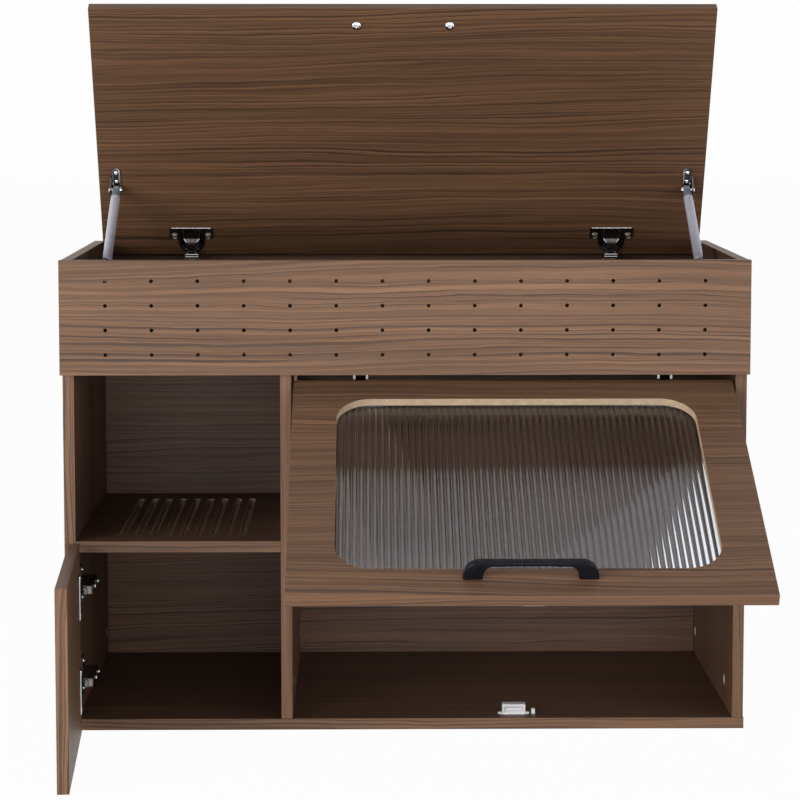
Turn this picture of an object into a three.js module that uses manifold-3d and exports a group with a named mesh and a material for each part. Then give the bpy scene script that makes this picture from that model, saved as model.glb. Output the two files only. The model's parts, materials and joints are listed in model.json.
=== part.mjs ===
// A cat litter box cabinet of 15 mm boards, 900 mm wide: a litter chamber with a flap on the right, an open
// cubby with a slatted shelf over a small cupboard on the left, and a storage box with a lid on top.
// Millimetres, +Z up, the front looks towards -Y. The origin is the centre of the bottom panel's underside.
// Lid, flap and door are shaped shut and then turned open about their hinge lines.

import * as THREE from "three";
import { mergeVertices } from "three/addons/utils/BufferGeometryUtils.js";
import Module from "manifold-3d";

const wasm = await Module();
wasm.setup();

// ---------- driving dimensions ----------
const BOARD = 15;
const HEIGHT = 624;
const CARCASS_WIDTH = 896;
const CARCASS_DEPTH = 412;
const BOTTOM_WIDTH = 898;
const FRONT_WIDTH = 900;
const FRONT_HEIGHT = 150;
const SHELF_TOP = 253;
const DIVIDER_X = -156.5;
const FIT = 0.3;

const LID_OPEN = 63;
const FLAP_OPEN = 63;
const DOOR_OPEN = 86.5;

const VENT = { columns: 14, pitchX: 60, rows: 4, pitchZ: 32, firstDrop: 27, radius: 2.5, sides: 8 };
const SLOT = { count: 9, pitch: 20, width: 10, front: 44, back: 346, centreX: -296 };
const CAT_HOLE = { front: 92, back: 278, bottom: 272, top: 458, corner: 40 };
const CAM = { radius: 7.5, depth: 12, z: 49, depths: [73, 379] };
const CAM_SLOT = { depth: 2.5, length: 9, width: 1.6 };

const LID = { width: 862, hingeX: 303, strutX: 406 };
const FLAP = { left: -146.5, right: 430.5, bottom: 17.5, hingeInset: 88 };
const WINDOW = { top: 44, bottom: 52, side: 57, corner: 45, lap: 5, rebate: 5 };
const SHEET = { thick: 4, flute: 8.3, crest: 1, crestFrom: 0.3, crestTo: 0.7 };
const DOOR = { left: -448, right: -151, bottom: 1, top: 252, gap: 1.5, hingeZ: [64, 188] };

// Concealed hinges. The hinge line of an inset leaf lies on its outer face, EDGE mm from its hinge edge.
const INSET = { edge: 12, mount: 15 };
const CUP = { radius: 17.5, depth: 11.5, centre: 22.5, wall: 2, rim: 1.5, plate: 1 };
const WING = { from: 26.7, to: 43, length: 62 };
const ARM = { width: 20, fork: 13, forkDepth: 11, top: -21, length: 74 };
const ARM_PLATE = { half: 26, thick: 2.5, from: 14, width: 20 };
const LINK = { inner: 17, outer: 23, width: 10, from: 48, to: 118, steps: 6, pin: 2 };
const DOOR_ARM = { width: 12, length: 82, height: 21, front: -20.5, tongue: 15, plateFrom: 22 };
const DOOR_PIVOT = { x: -444, front: 19.5 };

// The bow handle, with its two screw holes 128 mm apart.
const HANDLE = { length: 161, holes: 128, height: 25, bar: 8, foot: 24, width: 10 };
const SCREW = { shank: 2, head: 6.5, thick: 2.4, reach: 9.5 };
const LID_HANDLE_INSET = 26;
const FLAP_HANDLE_INSET = 35;

// The lid stay: a tube pinned to the lid and a rod pinned to the side panel.
const STAY = { pinAlong: 112, pinBelow: 10, footDepth: 105, footZ: 566, pin: 2.5, halfEye: 4 };
const STAY_TUBE = { from: 20, to: 168, radius: 6.6, bore: 3.5, plug: 12, eye: 6.5, neck: 5.6 };
const STAY_ROD = { top: 148, end: 11, radius: 3, eye: 6, neck: 4 };
const LID_BRACKET = { inner: 400.5, outer: 411.5, above: 31, below: 6, thick: 2, ear: 412.5, earThick: 2.5 };
const LID_PIN = { cap: 4, capFrom: 397.5, capTo: 401, head: 3.6, headThick: 1.8 };
const SIDE_BRACKET = { halfWidth: 9, halfHeight: 20, thick: 2, stud: 4, gap: 0.4 };

const CATCH = { x: 145, front: 17.5, depth: 14.5, width: 31, height: 14 };
const CATCH_EARS = { length: 42, width: 9, thick: 2.4 };
const CATCH_SLOT = { x: 6, width: 8, depth: 1, from: 4, to: 10 };
const CATCH_SCREW = { apart: 36, head: 2.4, shank: 1.5, thick: 2, below: 6, bore: 5 };
const STRIKE = { halfLength: 16, from: 2, to: 12, thick: 1.2 };
const BUMP_STOP = { x: 171, width: 5, depth: 8, height: 7 };

// ---------- derived places ----------
const back = (depth) => depth - CARCASS_DEPTH / 2; // y of a depth behind the carcass's front edge
const INNER_X = CARCASS_WIDTH / 2 - BOARD;
const DIVIDER = [DIVIDER_X - BOARD / 2, DIVIDER_X + BOARD / 2];
const BACK_FACE = CARCASS_DEPTH - BOARD;
const FLOOR_UNDERSIDE = HEIGHT - FRONT_HEIGHT;
const rad = THREE.MathUtils.degToRad;

const LID_PIVOT = new THREE.Vector3(0, back(BACK_FACE - INSET.mount), HEIGHT);
const FLAP_PIVOT = new THREE.Vector3(0, back(0), FLOOR_UNDERSIDE - INSET.mount);
const DOOR_AXIS = new THREE.Vector3(DOOR_PIVOT.x, back(-DOOR_PIVOT.front), 0);

// ---------- materials ----------
function finish(color, roughness, metalness = 0) {
  return new THREE.MeshStandardMaterial({ color, roughness, metalness });
}

const LOOK = {
  walnut: () => finish(0x6f5340, 0.55),
  walnutInside: () => finish(0x4e3a2c, 0.6),
  glazing: () => finish(0xb9b6c2, 0.15),
  nickel: () => finish(0x8d8f94, 0.3, 0.9),
  black: () => finish(0x17171c, 0.35),
  tube: () => finish(0xc8c6d4, 0.3, 0.5),
  greyPlastic: () => finish(0x7d828f, 0.5),
  whitePlastic: () => finish(0xe9e9e6, 0.45),
  beige: () => finish(0xc9b393, 0.5),
  brass: () => finish(0xb08d4c, 0.35, 0.9),
};

// ---------- solids ----------
// A closed three.js geometry as a solid for cutting and joining.
function solid(geometry) {
  geometry.deleteAttribute("normal");
  geometry.deleteAttribute("uv");
  const merged = mergeVertices(geometry, 1e-4);
  const triVerts = new Uint32Array(merged.index.array);
  const vertProperties = merged.attributes.position.array;
  return new wasm.Manifold(new wasm.Mesh({ numProp: 3, vertProperties, triVerts }));
}

// A box from its [low, high] pairs.
function box(x, y, z) {
  const shape = new THREE.BoxGeometry(x[1] - x[0], y[1] - y[0], z[1] - z[0]);
  return solid(shape.translate((x[0] + x[1]) / 2, (y[0] + y[1]) / 2, (z[0] + z[1]) / 2));
}

// A round bar between two heights of the axis "x", "y" or "z", through the point (a, b) of the other two.
function bar(axis, from, to, a, b, radius, sides = 16) {
  const shape = new THREE.CylinderGeometry(radius, radius, to - from, sides);
  const middle = (from + to) / 2;
  if (axis === "x") shape.rotateZ(Math.PI / 2).translate(middle, a, b);
  if (axis === "y") shape.translate(a, middle, b);
  if (axis === "z") shape.rotateX(Math.PI / 2).translate(a, b, middle);
  return solid(shape);
}

function outline(points) {
  return new THREE.Shape(points.map(([a, b]) => new THREE.Vector2(a, b)));
}

function roundedRectangle(left, right, bottom, top, corner, steps = 6) {
  const points = [];
  const centres = [
    [right - corner, top - corner, 0],
    [left + corner, top - corner, 90],
    [left + corner, bottom + corner, 180],
    [right - corner, bottom + corner, 270],
  ];
  for (const [a, b, start] of centres) {
    for (let i = 0; i <= steps; i++) {
      const angle = rad(start + (90 * i) / steps);
      points.push([a + corner * Math.cos(angle), b + corner * Math.sin(angle)]);
    }
  }
  return outline(points);
}

// A shape drawn in (y, z), (x, z) or (x, y), pushed along the axis it is square to.
function prism(axis, shape, from, to) {
  const body = new THREE.ExtrudeGeometry(shape, { depth: to - from, bevelEnabled: false, curveSegments: 6 });
  if (axis === "x") body.rotateX(Math.PI / 2).rotateZ(Math.PI / 2).translate(from, 0, 0);
  if (axis === "y") body.rotateX(Math.PI / 2).translate(0, to, 0);
  if (axis === "z") body.translate(0, 0, from);
  return solid(body);
}

// The [low, high] pair of two numbers, mirrored to the side that sign names.
const pair = (sign, from, to) => [Math.min(sign * from, sign * to), Math.max(sign * from, sign * to)];
const cut = (body, ...tools) => tools.reduce((left, tool) => left.subtract(tool), body);
const join = (body, ...more) => more.reduce((left, next) => left.add(next), body);

// ---------- assembly ----------
const cabinet = new THREE.Group();

function add(name, body, material, parent = cabinet) {
  const cutMesh = body.getMesh();
  const geometry = new THREE.BufferGeometry();
  geometry.setAttribute("position", new THREE.BufferAttribute(cutMesh.vertProperties, 3));
  geometry.setIndex(new THREE.BufferAttribute(cutMesh.triVerts, 1));
  geometry.computeVertexNormals();
  const mesh = new THREE.Mesh(geometry, material);
  mesh.name = name;
  parent.add(mesh);
  return mesh;
}

// A group whose pieces are shaped in the cabinet's closed pose and turned together about a hinge line.
function leaf(pivot, turn) {
  const hinge = new THREE.Group();
  hinge.position.copy(pivot);
  hinge.rotation.set(turn.x ?? 0, turn.y ?? 0, turn.z ?? 0);
  const pieces = new THREE.Group();
  pieces.position.copy(pivot).negate();
  hinge.add(pieces);
  cabinet.add(hinge);
  return pieces;
}

const lid = leaf(LID_PIVOT, { x: -rad(LID_OPEN) });
const flap = leaf(FLAP_PIVOT, { x: -rad(FLAP_OPEN) });
const door = leaf(DOOR_AXIS, { z: -rad(DOOR_OPEN) });

// ---------- carcass ----------
function camBores(faceX, inward) {
  return CAM.depths.map((depth) => {
    const ends = pair(inward, inward * faceX, inward * faceX - CAM.depth - FIT);
    return bar("x", ends[0], ends[1], back(depth), CAM.z, CAM.radius + FIT);
  });
}

function makeCarcass() {
  const depth = [back(0), back(CARCASS_DEPTH)];
  const toBack = [back(0), back(BACK_FACE)];
  const half = BOTTOM_WIDTH / 2;
  const middle = back(CATCH.front + CATCH.depth / 2);
  const screwHoles = [-1, 1].map((side) => {
    const x = CATCH.x + (side * CATCH_SCREW.apart) / 2;
    return bar("z", CATCH_SCREW.bore, BOARD, x, middle, CATCH_SCREW.shank + FIT, 10);
  });
  add("bottom_panel", cut(box([-half, half], depth, [0, BOARD]), ...screwHoles), LOOK.walnut());

  const left = box([-CARCASS_WIDTH / 2, -INNER_X], depth, [BOARD, HEIGHT]);
  add("left_side_panel", cut(left, ...camBores(-INNER_X, 1)), LOOK.walnut());
  const right = box([INNER_X, CARCASS_WIDTH / 2], depth, [BOARD, HEIGHT]);
  add("right_side_panel", cut(right, ...camBores(INNER_X, -1)), LOOK.walnut());

  const catHole = roundedRectangle(back(CAT_HOLE.front), back(CAT_HOLE.back), CAT_HOLE.bottom, CAT_HOLE.top,
    CAT_HOLE.corner);
  const divider = box(DIVIDER, toBack, [BOARD, FLOOR_UNDERSIDE]);
  const doorway = prism("x", catHole, DIVIDER[0] - 1, DIVIDER[1] + 1);
  add("divider_panel", cut(divider, doorway, ...camBores(DIVIDER[1], 1)), LOOK.walnutInside());

  add("back_panel", box([-INNER_X, INNER_X], [back(BACK_FACE), back(CARCASS_DEPTH)], [BOARD, HEIGHT]),
    LOOK.walnutInside());
  add("storage_box_floor", box([-INNER_X, INNER_X], toBack, [FLOOR_UNDERSIDE, FLOOR_UNDERSIDE + BOARD]),
    LOOK.walnutInside());
}

function makeCams() {
  const seats = [
    ["left", -INNER_X, 1],
    ["divider", DIVIDER[1], 1],
    ["right", INNER_X, -1],
  ];
  for (const [side, faceX, inward] of seats) {
    CAM.depths.forEach((depth, i) => {
      const ends = pair(inward, inward * faceX, inward * faceX - CAM.depth);
      const cam = bar("x", ends[0], ends[1], back(depth), CAM.z, CAM.radius);
      const slot = box(pair(inward, inward * faceX + 1, inward * faceX - CAM_SLOT.depth),
        [back(depth) - CAM_SLOT.length / 2, back(depth) + CAM_SLOT.length / 2],
        [CAM.z - CAM_SLOT.width / 2, CAM.z + CAM_SLOT.width / 2]);
      add(`cam_lock_${side}_${i ? "rear" : "front"}`, cut(cam, slot), LOOK.beige());
    });
  }
}

function makeShelf() {
  const shelf = box([-INNER_X, DIVIDER[0]], [back(0), back(BACK_FACE)], [SHELF_TOP - BOARD, SHELF_TOP]);
  const slots = [];
  for (let i = 0; i < SLOT.count; i++) {
    const x = SLOT.centreX + (i - (SLOT.count - 1) / 2) * SLOT.pitch;
    const shape = roundedRectangle(x - SLOT.width / 2, x + SLOT.width / 2, back(SLOT.front), back(SLOT.back),
      SLOT.width / 2 - 0.01, 3);
    slots.push(prism("z", shape, SHELF_TOP - BOARD - 1, SHELF_TOP + 1));
  }
  add("slatted_shelf", cut(shelf, ...slots), LOOK.walnutInside());
}

function makePerforatedFront() {
  const half = FRONT_WIDTH / 2;
  const shape = outline([[-half, FLOOR_UNDERSIDE], [half, FLOOR_UNDERSIDE], [half, HEIGHT], [-half, HEIGHT]]);
  for (let column = 0; column < VENT.columns; column++) {
    for (let row = 0; row < VENT.rows; row++) {
      const x = (column - (VENT.columns - 1) / 2) * VENT.pitchX;
      const z = HEIGHT - VENT.firstDrop - row * VENT.pitchZ;
      const hole = new THREE.Path();
      for (let i = 0; i < VENT.sides; i++) {
        const angle = (-2 * Math.PI * (i + 0.5)) / VENT.sides;
        const point = [x + VENT.radius * Math.cos(angle), z + VENT.radius * Math.sin(angle)];
        if (i === 0) hole.moveTo(...point);
        else hole.lineTo(...point);
      }
      hole.closePath();
      shape.holes.push(hole);
    }
  }
  add("perforated_front_panel", prism("y", shape, back(-BOARD), back(0)), LOOK.walnut());
}

// ---------- concealed hinges ----------
// The cup with its screw wings, shaped in (x, u, v): u runs along the leaf towards its hinge edge and v out
// of its front face, both from the hinge line. "inner" is the v of the leaf's inner face.
function cupSolid(edge, inner) {
  const u = edge - CUP.centre;
  const face = inner - FIT;
  const cup = bar("z", face, inner + CUP.depth - FIT, 0, u, CUP.radius - FIT, 20);
  const rim = bar("z", face - CUP.plate, face, 0, u, CUP.radius + CUP.rim, 20);
  const wings = box([-WING.length / 2, WING.length / 2], [edge - WING.to, edge - WING.from],
    [face - CUP.plate, face]);
  const pocketTop = inner + CUP.depth - CUP.wall;
  const pocket = bar("z", face - CUP.plate - 1, pocketTop, 0, u, CUP.radius - CUP.wall, 16);
  return cut(join(cup, rim, wings), pocket);
}

// The goose neck that runs from the cup into the arm's fork, on an arc about the hinge line.
function linkSolid(edge) {
  const arc = (r, i) => {
    const angle = rad(LINK.from + ((LINK.to - LINK.from) * i) / LINK.steps);
    return [-r * Math.cos(angle), -r * Math.sin(angle)];
  };
  const points = [];
  for (let i = 0; i <= LINK.steps; i++) points.push(arc(LINK.outer, i));
  for (let i = LINK.steps; i >= 0; i--) points.push(arc(LINK.inner, i));
  const shape = outline(points);
  const neck = prism("x", shape, -LINK.width / 2, LINK.width / 2);
  const u = edge - CUP.centre;
  const root = box([-LINK.width / 2, LINK.width / 2], [u - 8, u + 3], [-16.5, -5.5]);
  const crossbar = bar("x", -CUP.radius + 3, CUP.radius - 3, u - 6, -8, LINK.pin, 8);
  return join(neck, root, crossbar);
}

// The fixed arm and its plate for an inset leaf, on the mounting face at u = INSET.mount.
function insetArmSolid() {
  const top = ARM.top;
  const low = top - ARM.length;
  const side = outline([
    [13, low], [5, low + 2], [3, low + 12], [3, top - 22], [-5, top - 12], [-18, top - 7], [-20, top - 3],
    [-19, top + 3.5], [-15.5, top + 3.5], [-13.5, top], [13, top],
  ]);
  const arm = prism("x", side, -ARM.width / 2, ARM.width / 2);
  const fork = box([-ARM.fork / 2, ARM.fork / 2], [-21, 20], [top - ARM.forkDepth, top + 4]);
  const plate = box([-ARM_PLATE.half, ARM_PLATE.half], [INSET.mount - ARM_PLATE.thick, INSET.mount],
    [low + ARM_PLATE.from, low + ARM_PLATE.from + ARM_PLATE.width]);
  return join(cut(arm, fork), plate);
}

// Both take a solid shaped in (x, u, v) to the cabinet: for the lid u is +Y and v is +Z, for the flap u is +Z
// and v is -Y.
const toLid = (body, x) => body.translate([x, LID_PIVOT.y, LID_PIVOT.z]);
const toFlap = (body, x) => body.rotate([90, 0, 0]).translate([x, FLAP_PIVOT.y, FLAP_PIVOT.z]);

// For the door u is -X and v is -Y, and the hinge's own x runs along Z.
function toDoor(body, z) {
  const turn = new THREE.Matrix4().makeBasis(new THREE.Vector3(0, 0, 1), new THREE.Vector3(-1, 0, 0),
    new THREE.Vector3(0, -1, 0));
  return body.transform(turn.elements).translate([DOOR_AXIS.x, DOOR_AXIS.y, z]);
}

const DOOR_EDGE = -(DOOR.left - DOOR_PIVOT.x);
const DOOR_INNER = -(DOOR_PIVOT.front - DOOR.gap);

// The door's arm lies on the left side panel, at u = sideFace, with a tongue that reaches into the cup.
function doorArmSolid() {
  const sideFace = -(-INNER_X - DOOR_PIVOT.x);
  const low = -DOOR_PIVOT.front - DOOR_ARM.length;
  const web = sideFace - DOOR_ARM.height;
  const tongue = sideFace - DOOR_ARM.tongue;
  const side = outline([
    [sideFace - 2, low], [web + 4, low + 3], [web, low + 14], [web, DOOR_ARM.front], [tongue, DOOR_ARM.front],
    [tongue + 1, -14], [tongue + 3.5, -12], [sideFace - 6, -12], [sideFace - 4.6, -14], [sideFace - 4.6, -30],
    [sideFace - 2, -34],
  ]);
  const arm = prism("x", side, -DOOR_ARM.width / 2, DOOR_ARM.width / 2);
  const plate = box([-ARM_PLATE.half, ARM_PLATE.half], [sideFace - ARM_PLATE.thick, sideFace],
    [low + DOOR_ARM.plateFrom, low + DOOR_ARM.plateFrom + ARM_PLATE.width]);
  return join(arm, plate);
}

function makeHinges() {
  for (const [side, sign] of [["left", -1], ["right", 1]]) {
    const lidX = sign * LID.hingeX;
    add(`lid_hinge_arm_${side}`, toLid(insetArmSolid(), lidX), LOOK.nickel());
    add(`lid_hinge_cup_${side}`, toLid(cupWithLink(), lidX), LOOK.nickel(), lid);
    const flapX = sign < 0 ? FLAP.left + FLAP.hingeInset : FLAP.right - FLAP.hingeInset;
    add(`flap_hinge_arm_${side}`, toFlap(insetArmSolid(), flapX), LOOK.nickel());
    add(`flap_hinge_cup_${side}`, toFlap(cupWithLink(), flapX), LOOK.nickel(), flap);
  }
  DOOR.hingeZ.forEach((z, i) => {
    const level = i ? "upper" : "lower";
    add(`door_hinge_arm_${level}`, toDoor(doorArmSolid(), z), LOOK.nickel());
    add(`door_hinge_cup_${level}`, toDoor(cupSolid(DOOR_EDGE, DOOR_INNER), z), LOOK.nickel(), door);
  });
}

const cupWithLink = () => join(cupSolid(INSET.edge, -BOARD), linkSolid(INSET.edge));

// The blind bore of a cup, a little wider and deeper than the cup.
const cupBore = (edge, inner) => bar("z", inner - 1, inner + CUP.depth, 0, edge - CUP.centre, CUP.radius, 20);

// ---------- handle and its screws ----------
// Shaped in (x, u, v) with its feet FIT above the leaf's outer face at v = 0.
function handleSolid(u) {
  const end = HANDLE.length / 2;
  const inside = end - HANDLE.foot;
  const shape = new THREE.Shape();
  shape.moveTo(-end, FIT);
  shape.bezierCurveTo(-end + 1, 14, -end + 6, HANDLE.height, -end + 22, HANDLE.height);
  shape.lineTo(end - 22, HANDLE.height);
  shape.bezierCurveTo(end - 6, HANDLE.height, end - 1, 14, end, FIT);
  shape.lineTo(inside, FIT);
  shape.bezierCurveTo(inside - 1, 11, inside - 4, HANDLE.height - HANDLE.bar, inside - 14,
    HANDLE.height - HANDLE.bar);
  shape.lineTo(-inside + 14, HANDLE.height - HANDLE.bar);
  shape.bezierCurveTo(-inside + 4, HANDLE.height - HANDLE.bar, -inside + 1, 11, -inside, FIT);
  const bow = prism("y", shape, u - HANDLE.width / 2, u + HANDLE.width / 2);
  const holes = [-1, 1].map((sign) => bar("z", -1, 11, (sign * HANDLE.holes) / 2, u, SCREW.shank + FIT, 10));
  return cut(bow, ...holes);
}

function screwSolid(x, u) {
  const face = -BOARD - FIT;
  return join(
    bar("z", face - SCREW.thick, face, x, u, SCREW.head, 16),
    bar("z", face - 0.5, SCREW.reach, x, u, SCREW.shank, 10),
  );
}

const screwHole = (x, u) => bar("z", -BOARD - 1, 1, x, u, SCREW.shank + FIT, 10);

// ---------- lid ----------
const LID_LENGTH = BACK_FACE - 2 * (INSET.mount - INSET.edge);

function makeLid() {
  const u = INSET.edge - LID_LENGTH + LID_HANDLE_INSET;
  const half = LID.width / 2;
  const board = box([-half, half], [INSET.edge - LID_LENGTH, INSET.edge], [-BOARD, 0]);
  const bores = [-1, 1].map((sign) => cupBore(INSET.edge, -BOARD).translate([sign * LID.hingeX, 0, 0]));
  const holes = [-1, 1].map((sign) => screwHole((sign * HANDLE.holes) / 2, u));
  add("lid_panel", toLid(cut(board, ...bores, ...holes), 0), LOOK.walnut(), lid);
  add("lid_handle", toLid(handleSolid(u), 0), LOOK.black(), lid);
  for (const [side, sign] of [["left", -1], ["right", 1]]) {
    add(`lid_handle_screw_${side}`, toLid(screwSolid((sign * HANDLE.holes) / 2, u), 0), LOOK.nickel(), lid);
    add(`lid_stay_bracket_${side}`, toLid(stayBracketSolid(sign), 0), LOOK.nickel(), lid);
  }
}

// A plate on the lid's inner face beyond the stay's end, with one ear and the pin that carries the stay.
function stayBracketSolid(sign) {
  const { inner, outer, above, below, thick, ear: earX, earThick } = LID_BRACKET;
  const u = INSET.edge - STAY.pinAlong;
  const v = -BOARD - STAY.pinBelow;
  const face = -BOARD - FIT;
  const plate = box(pair(sign, inner, outer + 0.5), [u - above, u + below], [face - thick, face]);
  const foot = box(pair(sign, outer, earX + earThick), [u - 18, u + 7], [face - thick, face]);
  const side = outline([
    [u + 7, face - 1], [u - 18, face - 1], [u - 8, v - 5], [u - 3, v - 7], [u + 3, v - 7], [u + 7, v - 4],
  ]);
  const ear = prism("x", side, ...pair(sign, earX, earX + earThick));
  const pin = bar("x", ...pair(sign, LID_PIN.capTo - 1, earX + 0.5), u, v, STAY.pin, 12);
  const cap = bar("x", ...pair(sign, LID_PIN.capFrom, LID_PIN.capTo), u, v, LID_PIN.cap, 12);
  const headX = earX + earThick;
  const head = bar("x", ...pair(sign, headX - 0.5, headX + LID_PIN.headThick), u, v, LID_PIN.head, 12);
  return join(plate, foot, ear, pin, cap, head);
}

// ---------- lid stays ----------
const PIN_SHUT = new THREE.Vector3(0, INSET.edge - STAY.pinAlong, -BOARD - STAY.pinBelow);
const PIN_OPEN = PIN_SHUT.clone().applyAxisAngle(new THREE.Vector3(1, 0, 0), -rad(LID_OPEN)).add(LID_PIVOT);
const STAY_FOOT = new THREE.Vector3(0, back(STAY.footDepth), STAY.footZ);
const STAY_LENGTH = PIN_OPEN.distanceTo(STAY_FOOT);
const STAY_TURN = Math.atan2(STAY_FOOT.y - PIN_OPEN.y, PIN_OPEN.z - STAY_FOOT.z);

// Every piece of a stay is shaped hanging straight down from its upper pin at the origin.
function makeStay(side, sign) {
  const x = sign * LID.strutX;
  const stay = new THREE.Group();
  stay.position.set(x, PIN_OPEN.y, PIN_OPEN.z);
  stay.rotation.x = STAY_TURN;
  cabinet.add(stay);

  const { from, to, radius, bore, plug, eye: eyeRadius, neck } = STAY_TUBE;
  const width = STAY.halfEye;
  const eye = join(
    bar("x", -width, width, 0, 0, eyeRadius, 16),
    box([-width, width], [-neck, neck], [-14, 0]),
    bar("z", -from + FIT, -12, 0, 0, neck, 16),
  );
  const eyeHole = bar("x", -width - 1, width + 1, 0, 0, STAY.pin + FIT, 12);
  add(`stay_tube_end_${side}`, cut(eye, eyeHole), LOOK.greyPlastic(), stay);

  const tube = cut(bar("z", -to, -from, 0, 0, radius, 20), bar("z", -to - 1, -from - plug, 0, 0, bore, 12));
  add(`stay_tube_${side}`, tube, LOOK.tube(), stay);
  const rodEnd = -STAY_LENGTH + STAY_ROD.end;
  const rod = bar("z", rodEnd + FIT, -STAY_ROD.top, 0, 0, STAY_ROD.radius, 12);
  add(`stay_rod_${side}`, rod, LOOK.nickel(), stay);
  const foot = join(
    bar("x", -width, width, 0, -STAY_LENGTH, STAY_ROD.eye, 16),
    bar("z", -STAY_LENGTH, rodEnd, 0, 0, STAY_ROD.neck, 12),
  );
  add(`stay_rod_end_${side}`, foot, LOOK.greyPlastic(), stay);
}

// The side bracket's stud stops just short of the rod end, where the linkage is left open.
function sideBracketSolid(sign) {
  const { halfWidth, halfHeight, thick, gap } = SIDE_BRACKET;
  const { y, z } = STAY_FOOT;
  const plate = box(pair(sign, INNER_X - thick, INNER_X), [y - halfWidth, y + halfWidth],
    [z - halfHeight, z + halfHeight]);
  const studX = pair(sign, LID.strutX + STAY.halfEye + gap, INNER_X - 1);
  const stud = bar("x", ...studX, y, z, SIDE_BRACKET.stud, 12);
  return join(plate, stud);
}

function makeStays() {
  for (const [side, sign] of [["left", -1], ["right", 1]]) {
    makeStay(side, sign);
    add(`stay_side_bracket_${side}`, sideBracketSolid(sign), LOOK.nickel());
  }
}

// ---------- flap ----------
const FLAP_WIDTH = FLAP.right - FLAP.left;
const FLAP_X = (FLAP.left + FLAP.right) / 2;
const FLAP_LENGTH = FLOOR_UNDERSIDE - INSET.mount + INSET.edge - FLAP.bottom;

function windowOutline(grow) {
  const low = INSET.edge - FLAP_LENGTH;
  return roundedRectangle(-FLAP_WIDTH / 2 + WINDOW.side - grow, FLAP_WIDTH / 2 - WINDOW.side + grow,
    low + WINDOW.bottom - grow, INSET.edge - WINDOW.top + grow, WINDOW.corner + grow);
}

// The sheet with its rounded flutes on the outer side, running up the flap.
function flutedSheet() {
  const low = -BOARD + FIT;
  const crest = low + SHEET.thick;
  const plain = crest - SHEET.crest;
  const half = FLAP_WIDTH / 2 - WINDOW.side + WINDOW.lap + 2;
  const count = Math.ceil((2 * half) / SHEET.flute);
  const points = [];
  for (let i = 0; i < count; i++) {
    const x = (i - count / 2) * SHEET.flute;
    points.push([x, plain]);
    points.push([x + SHEET.flute * SHEET.crestFrom, crest]);
    points.push([x + SHEET.flute * SHEET.crestTo, crest]);
  }
  const end = (count / 2) * SHEET.flute;
  points.push([end, plain], [end, low], [-end, low]);
  const flutes = prism("y", outline(points), INSET.edge - FLAP_LENGTH, INSET.edge);
  return flutes.intersect(prism("z", windowOutline(WINDOW.lap - FIT), -BOARD - 1, 0));
}

function makeFlap() {
  const u = INSET.edge - FLAP_LENGTH + FLAP_HANDLE_INSET;
  const board = box([-FLAP_WIDTH / 2, FLAP_WIDTH / 2], [INSET.edge - FLAP_LENGTH, INSET.edge], [-BOARD, 0]);
  const hingeX = FLAP_WIDTH / 2 - FLAP.hingeInset;
  const bores = [-1, 1].map((sign) => cupBore(INSET.edge, -BOARD).translate([sign * hingeX, 0, 0]));
  const holes = [-1, 1].map((sign) => screwHole((sign * HANDLE.holes) / 2, u));
  const window = prism("z", windowOutline(0), -BOARD - 1, 1);
  const rebate = prism("z", windowOutline(WINDOW.lap), -BOARD - 1, -BOARD + WINDOW.rebate);
  add("flap_panel", toFlap(cut(board, ...bores, ...holes, window, rebate), FLAP_X), LOOK.walnut(), flap);
  add("fluted_window", toFlap(flutedSheet(), FLAP_X), LOOK.glazing(), flap);
  add("flap_handle", toFlap(handleSolid(u), FLAP_X), LOOK.black(), flap);
  for (const [side, sign] of [["left", -1], ["right", 1]]) {
    const screw = screwSolid((sign * HANDLE.holes) / 2, u);
    add(`flap_handle_screw_${side}`, toFlap(screw, FLAP_X), LOOK.nickel(), flap);
  }
  const low = INSET.edge - FLAP_LENGTH;
  const strikeX = CATCH.x - FLAP_X;
  const strike = box([strikeX - STRIKE.halfLength, strikeX + STRIKE.halfLength],
    [low + STRIKE.from, low + STRIKE.to], [-BOARD - FIT - STRIKE.thick, -BOARD - FIT]);
  add("catch_strike_plate", toFlap(strike, FLAP_X), LOOK.nickel(), flap);
}

// ---------- door ----------
function makeDoor() {
  const front = back(-BOARD - DOOR.gap);
  const board = box([DOOR.left, DOOR.right], [front, back(-DOOR.gap)], [DOOR.bottom, DOOR.top]);
  const bores = DOOR.hingeZ.map((z) => toDoor(cupBore(DOOR_EDGE, DOOR_INNER), z));
  add("door_panel", cut(board, ...bores), LOOK.walnut(), door);
}

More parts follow.
